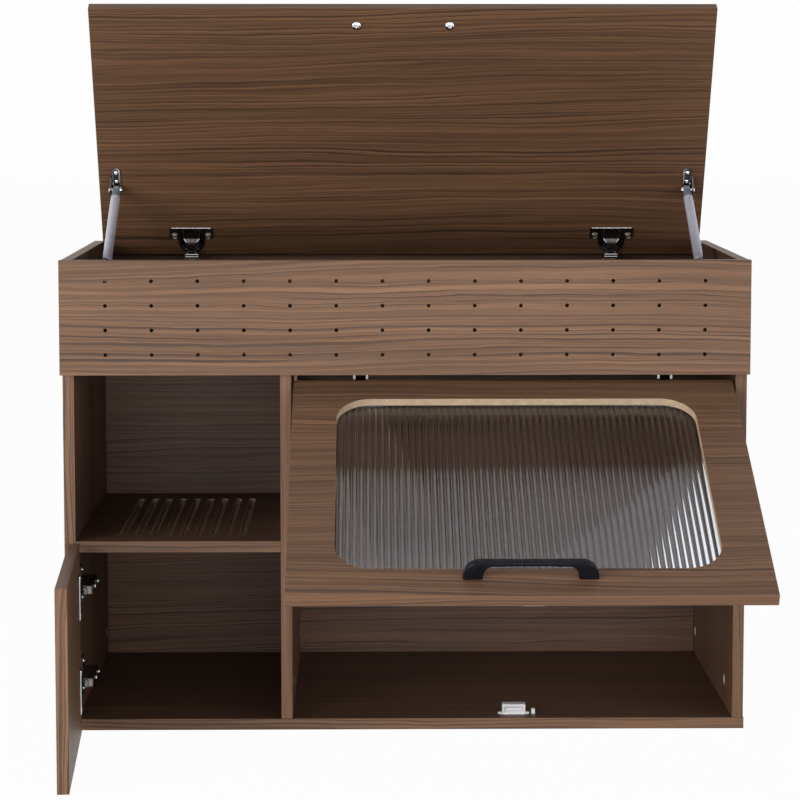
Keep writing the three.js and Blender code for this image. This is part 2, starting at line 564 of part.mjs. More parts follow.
// ---------- magnetic catch ----------
function makeCatch() {
  const middle = back(CATCH.front + CATCH.depth / 2);
  const earTop = BOARD + CATCH_EARS.thick;
  const body = box([CATCH.x - CATCH.width / 2, CATCH.x + CATCH.width / 2],
    [back(CATCH.front), back(CATCH.front + CATCH.depth)], [BOARD, BOARD + CATCH.height]);
  const ears = box([CATCH.x - CATCH_EARS.length / 2, CATCH.x + CATCH_EARS.length / 2],
    [middle - CATCH_EARS.width / 2, middle + CATCH_EARS.width / 2], [BOARD, earTop]);
  const half = CATCH_SCREW.apart / 2;
  const places = [["left", CATCH.x - half], ["right", CATCH.x + half]];
  const holes = places.map(([, x]) => bar("z", 0, earTop + 1, x, middle, CATCH_SCREW.shank + FIT, 10));
  const slots = [-1, 1].map((sign) => {
    const x = CATCH.x + sign * CATCH_SLOT.x;
    return box([x - CATCH_SLOT.width / 2, x + CATCH_SLOT.width / 2],
      [back(CATCH.front) - 1, back(CATCH.front) + CATCH_SLOT.depth],
      [BOARD + CATCH_SLOT.from, BOARD + CATCH_SLOT.to]);
  });
  add("magnet_catch", cut(join(body, ears), ...holes, ...slots), LOOK.whitePlastic());
  for (const [side, x] of places) {
    const screw = join(
      bar("z", earTop + FIT, earTop + CATCH_SCREW.thick, x, middle, CATCH_SCREW.head, 12),
      bar("z", CATCH_SCREW.below, earTop + 1, x, middle, CATCH_SCREW.shank, 10),
    );
    add(`catch_screw_${side}`, screw, LOOK.brass());
  }
}

function makeBumpStop() {
  const { x, width, depth, height } = BUMP_STOP;
  const middle = back(CATCH.front + CATCH.depth / 2);
  const stop = box([x - width / 2, x + width / 2], [middle - depth / 2, middle + depth / 2],
    [BOARD, BOARD + height]);
  add("flap_bump_stop", stop, LOOK.whitePlastic());
}

makeCarcass();
makeCams();
makeShelf();
makePerforatedFront();
makeLid();
makeFlap();
makeDoor();
makeHinges();
makeStays();
makeCatch();
makeBumpStop();

export default cabinet;
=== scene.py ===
# %% [markdown]
# # A walnut cabinet that hides a litter tray
#
# This lesson dresses a cabinet whose pieces, sizes and hinges already exist as a plain model. We load
# that model as a fixed frame. Then we give every board its printed wood, and build the small hardware
# in detail exactly where the frame has it. All sizes are metres. +Z is up and the front looks towards
# -Y.

# %% Load the frame
import json
import math
from functools import partial

import bmesh
import bpy
from mathutils import Matrix, Vector


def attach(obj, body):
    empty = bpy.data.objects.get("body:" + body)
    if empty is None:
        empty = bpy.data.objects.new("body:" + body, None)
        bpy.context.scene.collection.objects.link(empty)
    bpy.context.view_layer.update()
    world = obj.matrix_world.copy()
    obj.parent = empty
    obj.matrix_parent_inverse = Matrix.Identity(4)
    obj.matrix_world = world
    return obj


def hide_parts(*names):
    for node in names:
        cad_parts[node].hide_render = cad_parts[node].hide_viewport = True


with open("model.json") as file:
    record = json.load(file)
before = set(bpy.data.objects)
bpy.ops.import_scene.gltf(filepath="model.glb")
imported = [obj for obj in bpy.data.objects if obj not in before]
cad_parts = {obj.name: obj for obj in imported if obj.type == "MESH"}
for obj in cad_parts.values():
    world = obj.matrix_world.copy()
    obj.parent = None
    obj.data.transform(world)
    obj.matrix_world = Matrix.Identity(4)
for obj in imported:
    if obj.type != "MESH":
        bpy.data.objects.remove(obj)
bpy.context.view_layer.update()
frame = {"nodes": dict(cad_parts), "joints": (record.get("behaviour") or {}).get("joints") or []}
scene = bpy.context.scene
joints = {joint["name"]: joint for joint in frame["joints"]}
MM = 0.001

# %% [markdown]
# ## The camera
#
# The photograph was taken with a long lens from about three and a half metres, a little above the lid.
# We could aim the camera by eye, but a fit of the cabinet's corners gives its place, tilt and focal
# length, so we write those down as real values. The image is square, 800 pixels wide.

# %% Make the camera
IMAGE_WIDTH = 800
SENSOR = 36.0
FOCAL_PIXELS = 2537.5
CAMERA_PLACE = (-0.0500, -3.5051, 0.8474)
CAMERA_DOWN, CAMERA_TURN = 5.24, -0.747
FRAMING_SHIFT = -0.1

camera = bpy.data.objects.new("camera", bpy.data.cameras.new("camera"))
scene.collection.objects.link(camera)
scene.camera = camera
camera.location = CAMERA_PLACE
camera.rotation_euler = (math.radians(90 - CAMERA_DOWN), 0, math.radians(CAMERA_TURN))
camera.data.sensor_width = SENSOR
camera.data.lens = SENSOR * FOCAL_PIXELS / IMAGE_WIDTH
camera.data.shift_y = FRAMING_SHIFT
print("focal length", round(camera.data.lens, 1), "mm")

# %% [markdown]
# ## Building node trees
#
# Shader trees and Geometry Nodes trees are built with the same calls. One helper makes a node, sets its
# options and fills its sockets, either with a value or with a link from another node's output.

# %% Helpers for node trees
def add_node(tree, kind, inputs=None, **settings):
    node = tree.nodes.new(kind)
    for key, value in settings.items():
        setattr(node, key, value)
    for key, value in (inputs or {}).items():
        if isinstance(value, bpy.types.NodeSocket):
            tree.links.new(value, node.inputs[key])
        else:
            node.inputs[key].default_value = value
    return node


def calculate(tree, operation, *values):
    return add_node(tree, "ShaderNodeMath", dict(enumerate(values)), operation=operation).outputs[0]


def noise(tree, vector, stretch, detail=2.0, rough=0.5, shift=0.0):
    """Noise between 0 and 1 whose blobs are as long as one over each number of stretch, in metres."""
    scaled = add_node(tree, "ShaderNodeVectorMath", {0: vector, 1: stretch, 2: (shift,) * 3},
                      operation="MULTIPLY_ADD")
    settings = {"Vector": scaled.outputs[0], "Scale": 1.0, "Detail": detail, "Roughness": rough}
    return add_node(tree, "ShaderNodeTexNoise", settings).outputs["Fac"]


def smooth_step(tree, value, low, high):
    settings = {"Value": value, "From Min": low, "From Max": high}
    node = add_node(tree, "ShaderNodeMapRange", settings, interpolation_type="SMOOTHSTEP")
    return node.outputs["Result"]


def mix_colour(tree, factor, first, second, blend="MIX"):
    inputs = {0: factor, 6: first, 7: second}
    return add_node(tree, "ShaderNodeMix", inputs, data_type="RGBA", blend_type=blend).outputs[2]


def xyz(tree, x=0.0, y=0.0, z=0.0):
    return add_node(tree, "ShaderNodeCombineXYZ", {0: x, 1: y, 2: z}).outputs[0]


def object_place(tree):
    return add_node(tree, "ShaderNodeTexCoord").outputs["Object"]


def new_group(name, kind, inputs, outputs):
    """An empty node group with named sockets, and its input and output nodes."""
    tree = bpy.data.node_groups.new(name, kind)
    for label, (socket_type, value) in inputs.items():
        socket = tree.interface.new_socket(label, in_out="INPUT", socket_type=socket_type)
        if value is not None:
            socket.default_value = value
    for label, socket_type in outputs.items():
        tree.interface.new_socket(label, in_out="OUTPUT", socket_type=socket_type)
    start = add_node(tree, "NodeGroupInput").outputs
    return tree, start, add_node(tree, "NodeGroupOutput")


def new_material(name):
    material = bpy.data.materials.new(name)
    material.use_nodes = True
    material.node_tree.nodes.clear()
    return material, material.node_tree


NUMBER, COUNT, VECTOR, COLOUR = "NodeSocketFloat", "NodeSocketInt", "NodeSocketVector", "NodeSocketColor"
GEOMETRY, MATERIAL = "NodeSocketGeometry", "NodeSocketMaterial"

# %% [markdown]
# ## Room light
#
# The cabinet stands in a white studio. The photograph shows how it is lit: the boards inside are dark
# while the front is bright. Two wide lamps far out to the sides do that, because the side boards keep
# their light out of the compartments, and a darker print on the inside faces adds painted shade. A long
# low lamp in front lifts the edges and the floors a little, and the world adds a little from all round.
# Camera rays, reflections and glass see the world as plain white.

# %% Make the world
WORLD_LIGHT = 0.08
PAPER_WHITE = 0.985


def seen_directly(tree):
    """One for camera, mirror and glass rays, and zero for light that falls on something."""
    rays = add_node(tree, "ShaderNodeLightPath").outputs
    sight = calculate(tree, "MAXIMUM", rays["Is Camera Ray"], rays["Is Glossy Ray"])
    sight = calculate(tree, "MAXIMUM", sight, rays["Is Transmission Ray"])
    return calculate(tree, "MULTIPLY", sight, calculate(tree, "LESS_THAN", rays["Diffuse Depth"], 0.5))


world = bpy.data.worlds.new("studio")
scene.world = world
world.use_nodes = True
world.node_tree.nodes.clear()
lit = add_node(world.node_tree, "ShaderNodeBackground", {"Color": (1, 1, 1, 1), "Strength": WORLD_LIGHT})
seen = add_node(world.node_tree, "ShaderNodeBackground", {"Color": (1, 1, 1, 1), "Strength": PAPER_WHITE})
both = add_node(world.node_tree, "ShaderNodeMixShader",
                {0: seen_directly(world.node_tree), 1: lit.outputs[0], 2: seen.outputs[0]})
add_node(world.node_tree, "ShaderNodeOutputWorld", {"Surface": both.outputs[0]})
scene.view_settings.view_transform = "Standard"
print("world light", WORLD_LIGHT)

# %% [markdown]
# The floor is white paper. Seen from the camera most of its brightness is its own, and the rest is real
# light, so it is white right up to the cabinet and still holds a faint shadow.

# %% Make the floor
FLOOR_SIZE = 40.0
FLOOR_DROP = 0.0005
FLOOR_GREY, FLOOR_MOTTLE = 0.22, 0.02
OWN_WHITE = 0.93
PAPER_GLOW = PAPER_WHITE + 0.065

floor_mesh = bpy.data.meshes.new("floor")
half = FLOOR_SIZE / 2
floor_corners = [(x * half, y * half, -FLOOR_DROP) for x, y in ((-1, -1), (1, -1), (1, 1), (-1, 1))]
floor_mesh.from_pydata(floor_corners, [], [(0, 1, 2, 3)])
floor = bpy.data.objects.new("floor", floor_mesh)
scene.collection.objects.link(floor)

paper, paper_tree = new_material("floor_paper")
paper_tone = noise(paper_tree, object_place(paper_tree), (3, 3, 3))
greys = [(FLOOR_GREY + extra,) * 3 + (1,) for extra in (0, FLOOR_MOTTLE)]
matt = add_node(paper_tree, "ShaderNodeBsdfDiffuse", {"Color": mix_colour(paper_tree, paper_tone, *greys)})
glow = add_node(paper_tree, "ShaderNodeEmission", {"Color": (1, 1, 1, 1), "Strength": PAPER_GLOW})
share = calculate(paper_tree, "MULTIPLY", seen_directly(paper_tree), OWN_WHITE)
paper_mix = add_node(paper_tree, "ShaderNodeMixShader", {0: share, 1: matt.outputs[0], 2: glow.outputs[0]})
add_node(paper_tree, "ShaderNodeOutputMaterial", {"Surface": paper_mix.outputs[0]})
floor_mesh.materials.append(paper)


# %% Hang the lamps
def lamp(name, place, aim, width, height, watts):
    light = bpy.data.lights.new(name, "AREA")
    light.shape, light.size, light.size_y, light.energy = "RECTANGLE", width, height, watts
    holder = bpy.data.objects.new(name, light)
    scene.collection.objects.link(holder)
    holder.location = place
    holder.rotation_euler = (Vector(aim) - Vector(place)).to_track_quat("-Z", "Y").to_euler()
    holder.visible_camera = False


MIDDLE = (0, 0, 0.45)
lamp("soft_key", (-2.35, -2.15, 0.80), MIDDLE, 2.0, 1.3, 56)
lamp("soft_fill", (2.35, -2.15, 0.70), MIDDLE, 2.0, 1.2, 24)
lamp("soft_front", (0.0, -3.30, 0.34), MIDDLE, 3.0, 0.5, 33)
print("two wide lamps stand far out to the left and to the right, and a long low one in front")

# %% [markdown]
# ## Walnut print
#
# The boards are fibreboard under a printed film, so their grain is a picture of a sawn board. A picture
# could be painted, but a formula gives endless boards that don't repeat. Growth rings become dark lines
# along the board, some six millimetres apart, each dark on one side and light on the other. Slow noise
# bends them, so they drift and spread into calmer zones, and every ring gets a strength of its own.
# Stretched noise adds streaks, threads, fibres and pores. The group expects a position whose X runs
# along the grain, Y across it and Z through the board.

# %% Make the walnut group
def build_walnut_group():
    inputs = {
        "Vector": (VECTOR, None),
        "Light": (COLOUR, (0.5, 0.3, 0.2, 1)),
        "Dark": (COLOUR, (0.2, 0.1, 0.07, 1)),
        "Line": (COLOUR, (0.1, 0.06, 0.05, 1)),
        "Ring": (NUMBER, 0.0062),
        "Sway": (NUMBER, 0.080),
        "Line Strength": (NUMBER, 0.78),
    }
    outputs = {"Color": COLOUR, "Roughness": NUMBER, "Height": NUMBER}
    tree, given, result = new_group("walnut_print", "ShaderNodeTree", inputs, outputs)
    maths, mottle, step = partial(calculate, tree), partial(noise, tree), partial(smooth_step, tree)
    place = given["Vector"]
    axes = add_node(tree, "ShaderNodeSeparateXYZ", {0: place}).outputs

    drift = maths("SUBTRACT", mottle(place, (0.8, 5.5, 5.5), 1.5), 0.5)
    across = maths("MULTIPLY_ADD", drift, given["Sway"], axes["Y"])
    ripple = maths("MULTIPLY_ADD", mottle(place, (5.5, 38, 38), 3.0, shift=7), 0.013, -0.0065)
    across = maths("ADD", across, ripple)
    bent = xyz(tree, axes["X"], across, axes["Z"])

    rings = maths("DIVIDE", across, given["Ring"])
    uneven = add_node(tree, "ShaderNodeTexNoise",
                      {"W": maths("MULTIPLY", rings, 0.45), "Scale": 1.0, "Detail": 2.0},
                      noise_dimensions="1D").outputs["Fac"]
    rings = maths("MULTIPLY_ADD", uneven, 3.0, rings)
    saw = maths("FRACT", rings)
    own = add_node(tree, "ShaderNodeTexWhiteNoise", {"W": maths("FLOOR", rings)}, noise_dimensions="1D")
    late = maths("MULTIPLY", maths("POWER", step(saw, 0.38, 0.86), 1.3),
                 maths("SUBTRACT", 1.0, step(saw, 0.93, 1.0)))
    fade = step(mottle(bent, (2.2, 40, 40), 2.0, shift=13), 0.25, 0.55)
    strength = maths("MULTIPLY", maths("MULTIPLY_ADD", own.outputs["Value"], 0.7, 0.35), fade)
    lines = maths("MULTIPLY", maths("MULTIPLY", late, strength), given["Line Strength"])
    glow = maths("MULTIPLY", maths("SUBTRACT", 1.0, step(saw, 0.0, 0.3)), strength)

    streak = step(mottle(bent, (1.5, 130, 130), 3.0, 0.6, shift=11), 0.30, 0.70)
    thread = step(mottle(bent, (4, 520, 520), 2.0, 0.6, shift=17), 0.25, 0.75)
    broad = step(mottle(bent, (1.0, 14, 14), 2.0, 0.5, shift=5), 0.30, 0.70)
    fibre = mottle(place, (22, 1100, 1100), 2.0, 0.6, shift=2)
    pores = step(mottle(place, (55, 1700, 1700), 1.0, shift=9), 0.62, 0.72)

    tone = maths("MULTIPLY_ADD", streak, 0.40, maths("MULTIPLY", thread, 0.30))
    tone = maths("ADD", maths("MULTIPLY_ADD", broad, 0.20, tone), maths("MULTIPLY", glow, 0.38))
    colour = mix_colour(tree, tone, given["Dark"], given["Light"])
    colour = mix_colour(tree, lines, colour, given["Line"])
    speckle = maths("MULTIPLY_ADD", fibre, 0.30, 0.85)
    speckle = maths("SUBTRACT", speckle, maths("MULTIPLY", pores, 0.20))
    grey = add_node(tree, "ShaderNodeCombineColor", {0: speckle, 1: speckle, 2: speckle}).outputs[0]
    values = {"Color": mix_colour(tree, 1.0, colour, grey, "MULTIPLY"),
              "Roughness": maths("MULTIPLY_ADD", fibre, 0.16, 0.40),
              "Height": maths("SUBTRACT", maths("MULTIPLY", fibre, 0.35), pores)}
    for label, value in values.items():
        tree.links.new(value, result.inputs[label])
    return tree


walnut_group = build_walnut_group()
print("walnut group has", len(walnut_group.nodes), "nodes")

# %% [markdown]
# Every board gets a material of its own, because its print starts at another place of the roll. A
# Mapping node carries the position into the board's own directions: along the grain, across it, and
# through the board. So the print stays on the board however it is turned, and the narrow end bands get
# a second material whose grain runs along the band.

# %% Make walnut materials
WALNUT = {"Light": (0.350, 0.190, 0.108, 1), "Dark": (0.108, 0.056, 0.034, 1),
          "Line": (0.036, 0.023, 0.019, 1)}
PRINT_BUMP = 0.00005
HERE = Matrix.Identity(4)
at = Matrix.Translation


def turned_place(tree, along, across, place, start):
    """Object coordinates, carried into the directions along and across of a piece that stands at place."""
    along, across = Vector(along), Vector(across)
    turn = Matrix((along, across, along.cross(across))).to_4x4() @ place.inverted()
    shift = turn.translation + Vector(start)
    settings = {"Vector": object_place(tree), "Location": shift, "Rotation": turn.to_euler()}
    return add_node(tree, "ShaderNodeMapping", settings).outputs[0]


def group_material(name, group, values, bump, strength, shader_values, position=object_place):
    """A material whose colour, roughness and bump come from a shader group with these input values."""
    material, tree = new_material(name)
    pattern = add_node(tree, "ShaderNodeGroup", {"Vector": position(tree), **values}, node_tree=group).outputs
    raised = add_node(tree, "ShaderNodeBump",
                      {"Height": pattern["Height"], "Strength": strength, "Distance": bump})
    shader = add_node(tree, "ShaderNodeBsdfPrincipled", {
        "Base Color": pattern["Color"], "Roughness": pattern["Roughness"], "Normal": raised.outputs[0],
        **shader_values})
    add_node(tree, "ShaderNodeOutputMaterial", {"Surface": shader.outputs[0]})
    return material


def walnut(name, along, across, place=HERE, start=(0, 0, 0), **print_values):
    return group_material(name, walnut_group, {**WALNUT, **print_values}, PRINT_BUMP, 0.5,
                          {"Specular IOR Level": 0.25},
                          lambda tree: turned_place(tree, along, across, place, start))


# %% [markdown]
# ## Speckle for the plain finishes
#
# Plastic, metal and raw fibreboard are even at a glance, but none is one flat colour. A second group
# gives each of them a fine and a coarse mottle, which shifts colour and roughness a little and raises a
# tiny bump.

# %% Make the speckle group and its materials
def build_speckle_group():
    inputs = {
        "Vector": (VECTOR, None),
        "Low": (COLOUR, (0.4, 0.4, 0.4, 1)),
        "High": (COLOUR, (0.5, 0.5, 0.5, 1)),
        "Fine": (NUMBER, 900.0),
        "Smooth": (NUMBER, 0.3),
        "Rough": (NUMBER, 0.4),
    }
    outputs = {"Color": COLOUR, "Roughness": NUMBER, "Height": NUMBER}
    tree, given, result = new_group("speckle", "ShaderNodeTree", inputs, outputs)
    maths = partial(calculate, tree)
    scaled = add_node(tree, "ShaderNodeVectorMath", {0: given["Vector"], "Scale": given["Fine"]},
                      operation="SCALE").outputs[0]
    fine = noise(tree, scaled, (1, 1, 1), 3.0, 0.6)
    coarse = noise(tree, scaled, (0.07, 0.07, 0.07), 2.0)
    amount = maths("ADD", maths("MULTIPLY", fine, 0.6), maths("MULTIPLY", coarse, 0.4))
    amount = smooth_step(tree, amount, 0.3, 0.7)
    tree.links.new(mix_colour(tree, amount, given["Low"], given["High"]), result.inputs["Color"])
    settings = {"Value": coarse, "From Min": 0.3, "From Max": 0.7, "To Min": given["Smooth"],
                "To Max": given["Rough"]}
    tree.links.new(add_node(tree, "ShaderNodeMapRange", settings).outputs[0], result.inputs["Roughness"])
    tree.links.new(fine, result.inputs["Height"])
    return tree


speckle_group = build_speckle_group()


def speckled(name, low, high, fine, smooth, rough, bump, **shader_values):
    values = {"Low": (*low, 1), "High": (*high, 1), "Fine": fine, "Smooth": smooth, "Rough": rough}
    return group_material(name, speckle_group, values, bump, 0.6, shader_values)


raw_board = speckled("raw_fibreboard", (0.46, 0.33, 0.21), (0.66, 0.49, 0.33), 1400, 0.8, 0.95, 0.0002)
# The bore walls are near-black and nearly without shine: painted shade where the vent holes look into the
# dark box.
bore_shade = speckled("bore_wall_painted_shade", (0.020, 0.014, 0.010), (0.045, 0.032, 0.024), 1400, 0.8, 0.95,
                     0.0002, **{"Specular IOR Level": 0.05})
nickel = speckled("dark_nickel", (0.085, 0.080, 0.078), (0.170, 0.160, 0.155), 300, 0.18, 0.34, 0.00002,
                  Metallic=1.0)
satin = speckled("satin_nickel", (0.36, 0.32, 0.27), (0.48, 0.43, 0.37), 500, 0.40, 0.52, 0.00002,
                 Metallic=0.6)
steel = speckled("bright_steel", (0.62, 0.62, 0.64), (0.80, 0.80, 0.82), 400, 0.10, 0.24, 0.00001,
                 Metallic=1.0)
brass = speckled("brassy_zinc", (0.28, 0.21, 0.10), (0.46, 0.36, 0.19), 500, 0.22, 0.38, 0.00002,
                 Metallic=1.0)
black = speckled("black_enamel", (0.006, 0.006, 0.009), (0.012, 0.012, 0.018), 1200, 0.26, 0.36, 0.00001,
                 **{"Specular IOR Level": 0.12})
lilac_tube = speckled("stay_tube_paint", (0.66, 0.66, 0.78), (0.76, 0.76, 0.88), 250, 0.22, 0.34, 0.00002,
                      **{"Coat Weight": 0.3})
grey_plastic = speckled("grey_plastic", (0.19, 0.21, 0.26), (0.27, 0.29, 0.34), 1100, 0.42, 0.55, 0.00005)
white_plastic = speckled("white_plastic", (0.74, 0.74, 0.76), (0.84, 0.84, 0.86), 900, 0.35, 0.5, 0.00004)
beige_plastic = speckled("beige_plastic", (0.50, 0.41, 0.29), (0.60, 0.50, 0.36), 900, 0.4, 0.55, 0.00004)
print(len(bpy.data.materials), "materials so far")

# %% [markdown]
# ## Where the moving leaves are
#
# The lid, the flap and the door stand open. It is easiest to shape a piece as if its leaf were shut and
# flat, in three directions: x along the hinge line, u along the leaf towards its hinge edge and v out
# of its outer face. One matrix for each leaf then carries the piece to where the frame has it. The
# fixed half of a hinge uses the same directions without the opening turn.

# %% Work out the leaf matrices
def pivot(joint):
    return at(Vector(joints[joint]["pos_m"]))


def opening(joint):
    return math.radians(joints[joint]["range_deg"][0])


UPRIGHT = Matrix.Rotation(math.radians(90), 4, "X")
DOOR_BASIS = Matrix(((0, -1, 0, 0), (0, 0, -1, 0), (1, 0, 0, 0), (0, 0, 0, 1)))
LID_SHUT = pivot("lid_hinge")
LID = LID_SHUT @ Matrix.Rotation(opening("lid_hinge"), 4, "X")
FLAP_SHUT = pivot("flap_hinge") @ UPRIGHT
FLAP = pivot("flap_hinge") @ Matrix.Rotation(opening("flap_hinge"), 4, "X") @ UPRIGHT
DOOR_TURN = Matrix.Rotation(opening("door_hinge"), 4, "Z")


def door_place(height, turned):
    """The door hinge's directions at a height, for its fixed half or for the half that turns."""
    line = Vector(joints["door_hinge"]["pos_m"])
    line.z = height
    return at(line) @ (DOOR_TURN if turned else HERE) @ DOOR_BASIS


def span(node, place=HERE):
    """Lowest and highest corner of a frame node, measured in the directions of a leaf."""
    back = place.inverted()
    corners = [back @ vertex.co for vertex in frame["nodes"][node].data.vertices]
    low = Vector(min(corner[i] for corner in corners) for i in range(3))
    high = Vector(max(corner[i] for corner in corners) for i in range(3))
    return low, high


for leaf_name, matrix in (("lid_panel", LID), ("flap_panel", FLAP)):
    low, high = span(leaf_name, matrix)
    print(leaf_name, "is", [round(size / MM, 1) for size in high - low], "mm")


# %% [markdown]
# ## Making and finishing a mesh
#
# These helpers turn a bmesh into an object at the origin whose place is in its mesh, cut one mesh with
# another, and hand the piece over to a body of the frame.

# %% Helpers for meshes
FLAT_FACES_FIRST = 100


def shade(mesh, sharp):
    mesh.shade_smooth()
    mesh.set_sharp_from_angle(angle=math.radians(sharp))


def new_piece(name, shape, materials, place=HERE, sharp=32):
    bmesh.ops.recalc_face_normals(shape, faces=shape.faces)
    mesh = bpy.data.meshes.new(name)
    shape.to_mesh(mesh)
    shape.free()
    mesh.transform(place)
    for material in materials:
        mesh.materials.append(material)
    shade(mesh, sharp)
    piece = bpy.data.objects.new(name, mesh)
    scene.collection.objects.link(piece)
    even = piece.modifiers.new("even_shading", "WEIGHTED_NORMAL")
    even.keep_sharp, even.weight = True, FLAT_FACES_FIRST
    return bake(piece)


def bake(piece):
    """Applies the piece's modifiers."""
    scene_now = bpy.context.evaluated_depsgraph_get()
    mesh = bpy.data.meshes.new_from_object(piece.evaluated_get(scene_now))
    piece.modifiers.clear()
    piece.data = mesh
    return piece


def carve(piece, cutter, **settings):
    """Cuts one mesh with another, and deletes the cutter."""
    tool = piece.modifiers.new("carve", "BOOLEAN")
    tool.operation, tool.object, tool.solver = "DIFFERENCE", cutter, "EXACT"
    for key, value in {"material_mode": "TRANSFER", **settings}.items():
        setattr(tool, key, value)
    bake(piece)
    bpy.data.objects.remove(cutter)
    return piece


def hand_over(piece, body, slot, *nodes):
    """The piece moves with its body and stands for frame nodes, which it hides. slot is not used."""
    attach(piece, body)
    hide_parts(*nodes)
    print(piece.name, "rides on", body, "with", len(piece.data.polygons), "faces")


def deliver(name, shape, materials, place, body, slot, *nodes, sharp=32):
    """Makes a piece from a bmesh and hands it over."""
    hand_over(new_piece(name, shape, materials, place, sharp), body, slot, *nodes)


# %% [markdown]
# ## Primitive shapes
#
# Hardware is made of turned shapes, pressed plates and bent strips. All of them are rings of corners
# with faces between one ring and the next, so one function lays the faces. The others only work out the
# corners, and each adds its shape to a bmesh, so that one piece can gather several.

# %% Helpers for turned, flat and bent shapes
def loft(shape, rings, material=0, caps=False, around=False, one_side=False):
    """Faces from ring to ring, where a ring of one corner is a tip. caps closes both ends, around joins the
    last ring to the first, and with one_side only the first side of each step takes the material."""
    rings = [[shape.verts.new(corner) for corner in ring] for ring in rings]
    if caps:
        for ring in (rings[0][::-1], rings[-1]):
            shape.faces.new(ring).material_index = material
    for first, second in zip(rings, rings[1:] + (rings[:1] if around else [])):
        sides = max(len(first), len(second))
        for i in range(sides):
            after = (i + 1) % sides
            corners = [first[i % len(first)], first[after % len(first)], second[after % len(second)],
                       second[i % len(second)]]
            face = shape.faces.new(list(dict.fromkeys(corners)))
            face.material_index = 0 if one_side and i else material


def add_turned(shape, profile, sides=32, place=HERE, material=0, around=False):
    """A body turned round Z from (radius, height) points. It starts and ends on the axis, or it is a closed
    ring where around is set."""
    rings = []
    for radius, height in profile:
        turns = [2 * math.pi * i / sides for i in range(sides if radius else 1)]
        rings.append([place @ Vector((radius * math.cos(turn), radius * math.sin(turn), height))
                      for turn in turns])
    loft(shape, rings, material, around=around)


def add_pin(shape, half, radius, slope, sides, place, material=0):
    """A turned pin that reaches half its length both ways, with a slope of (radius, height) at its ends."""
    narrow, shoulder = radius - slope[0], half - slope[1]
    add_turned(shape, ((0, -half), (narrow, -half), (radius, -shoulder), (radius, shoulder), (narrow, half),
                       (0, half)), sides, place, material)


def add_plate(shape, points, low, high, place=HERE, material=0, round_by=0.0):
    """A flat plate from an outline of (x, y) points between two heights, with rounded rims."""
    body = bmesh.new()
    loft(body, [[(x, y, z) for x, y in points] for z in (low, high)], caps=True)
    if round_by:
        rims = [edge for edge in body.edges if edge.verts[0].co.z == edge.verts[1].co.z]
        bmesh.ops.bevel(body, geom=rims, offset=round_by, segments=2, profile=0.5, affect="EDGES")
    for face in body.faces:
        face.material_index = material
    body.transform(place)
    scratch = bpy.data.meshes.new("scratch")
    body.to_mesh(scratch)
    body.free()
    shape.from_mesh(scratch)
    bpy.data.meshes.remove(scratch)


def rounded_outline(left, right, bottom, top, corner, steps=6):
    points = []
    centres = ((right - corner, top - corner, 0), (left + corner, top - corner, 90),
               (left + corner, bottom + corner, 180), (right - corner, bottom + corner, 270))
    for x, y, start in centres:
        for i in range(steps + 1):
            angle = math.radians(start + 90 * i / steps)
            points.append((x + corner * math.cos(angle), y + corner * math.sin(angle)))
    return points


def add_block(shape, x, y, z, corner, place=HERE, material=0):
    """A block between pairs of x, y and z, with its upright edges and rims rounded."""
    add_plate(shape, rounded_outline(*x, *y, corner, 4), *z, place, material, corner * 0.6)


def add_strip(shape, stations):
    """A bent strip through stations of ((y, z) outer point, (y, z) inner point, half width)."""
    loft(shape, [[(-half, *outer), (half, *outer), (half, *inner), (-half, *inner)]
                 for outer, inner, half in stations], caps=True)


# %% [markdown]
# ## Boards
#
# A plain board already has its right shape in the frame, bores included. A copy of it is merged, its
# flat faces are joined up again, and its long edges are rounded by half a millimetre, as a glued edge
# band is after trimming. That thin rounding is what catches the light along every edge.

# %% Dress the plain boards
EDGE_ROUND = 0.0006
FLAT_ANGLE = math.radians(0.5)


def on_box_edge(edge, low, high):
    """True where both ends lie on the same two outer planes of the board."""
    shared = 0
    for i in range(3):
        for plane in (low[i], high[i]):
            if all(abs(vertex.co[i] - plane) < 0.02 * MM for vertex in edge.verts):
                shared += 1
    return shared == 2


FACING = 0.7
# Faces inside the compartments get a darker walnut than the outside, though the boards are the same: painted
# shade.
INSIDE_SHADE_PRINT = {"Light": (0.200, 0.105, 0.062, 1), "Dark": (0.068, 0.037, 0.025, 1),
                "Line": (0.024, 0.016, 0.014, 1)}
# The lid's walnut is warmer and darker than the other boards': the warmer tone is its own, and the darkening
# is painted shade.
LID_SHADED_PRINT = {"Light": (0.225, 0.112, 0.055, 1), "Dark": (0.070, 0.034, 0.018, 1),
             "Line": (0.022, 0.014, 0.010, 1)}


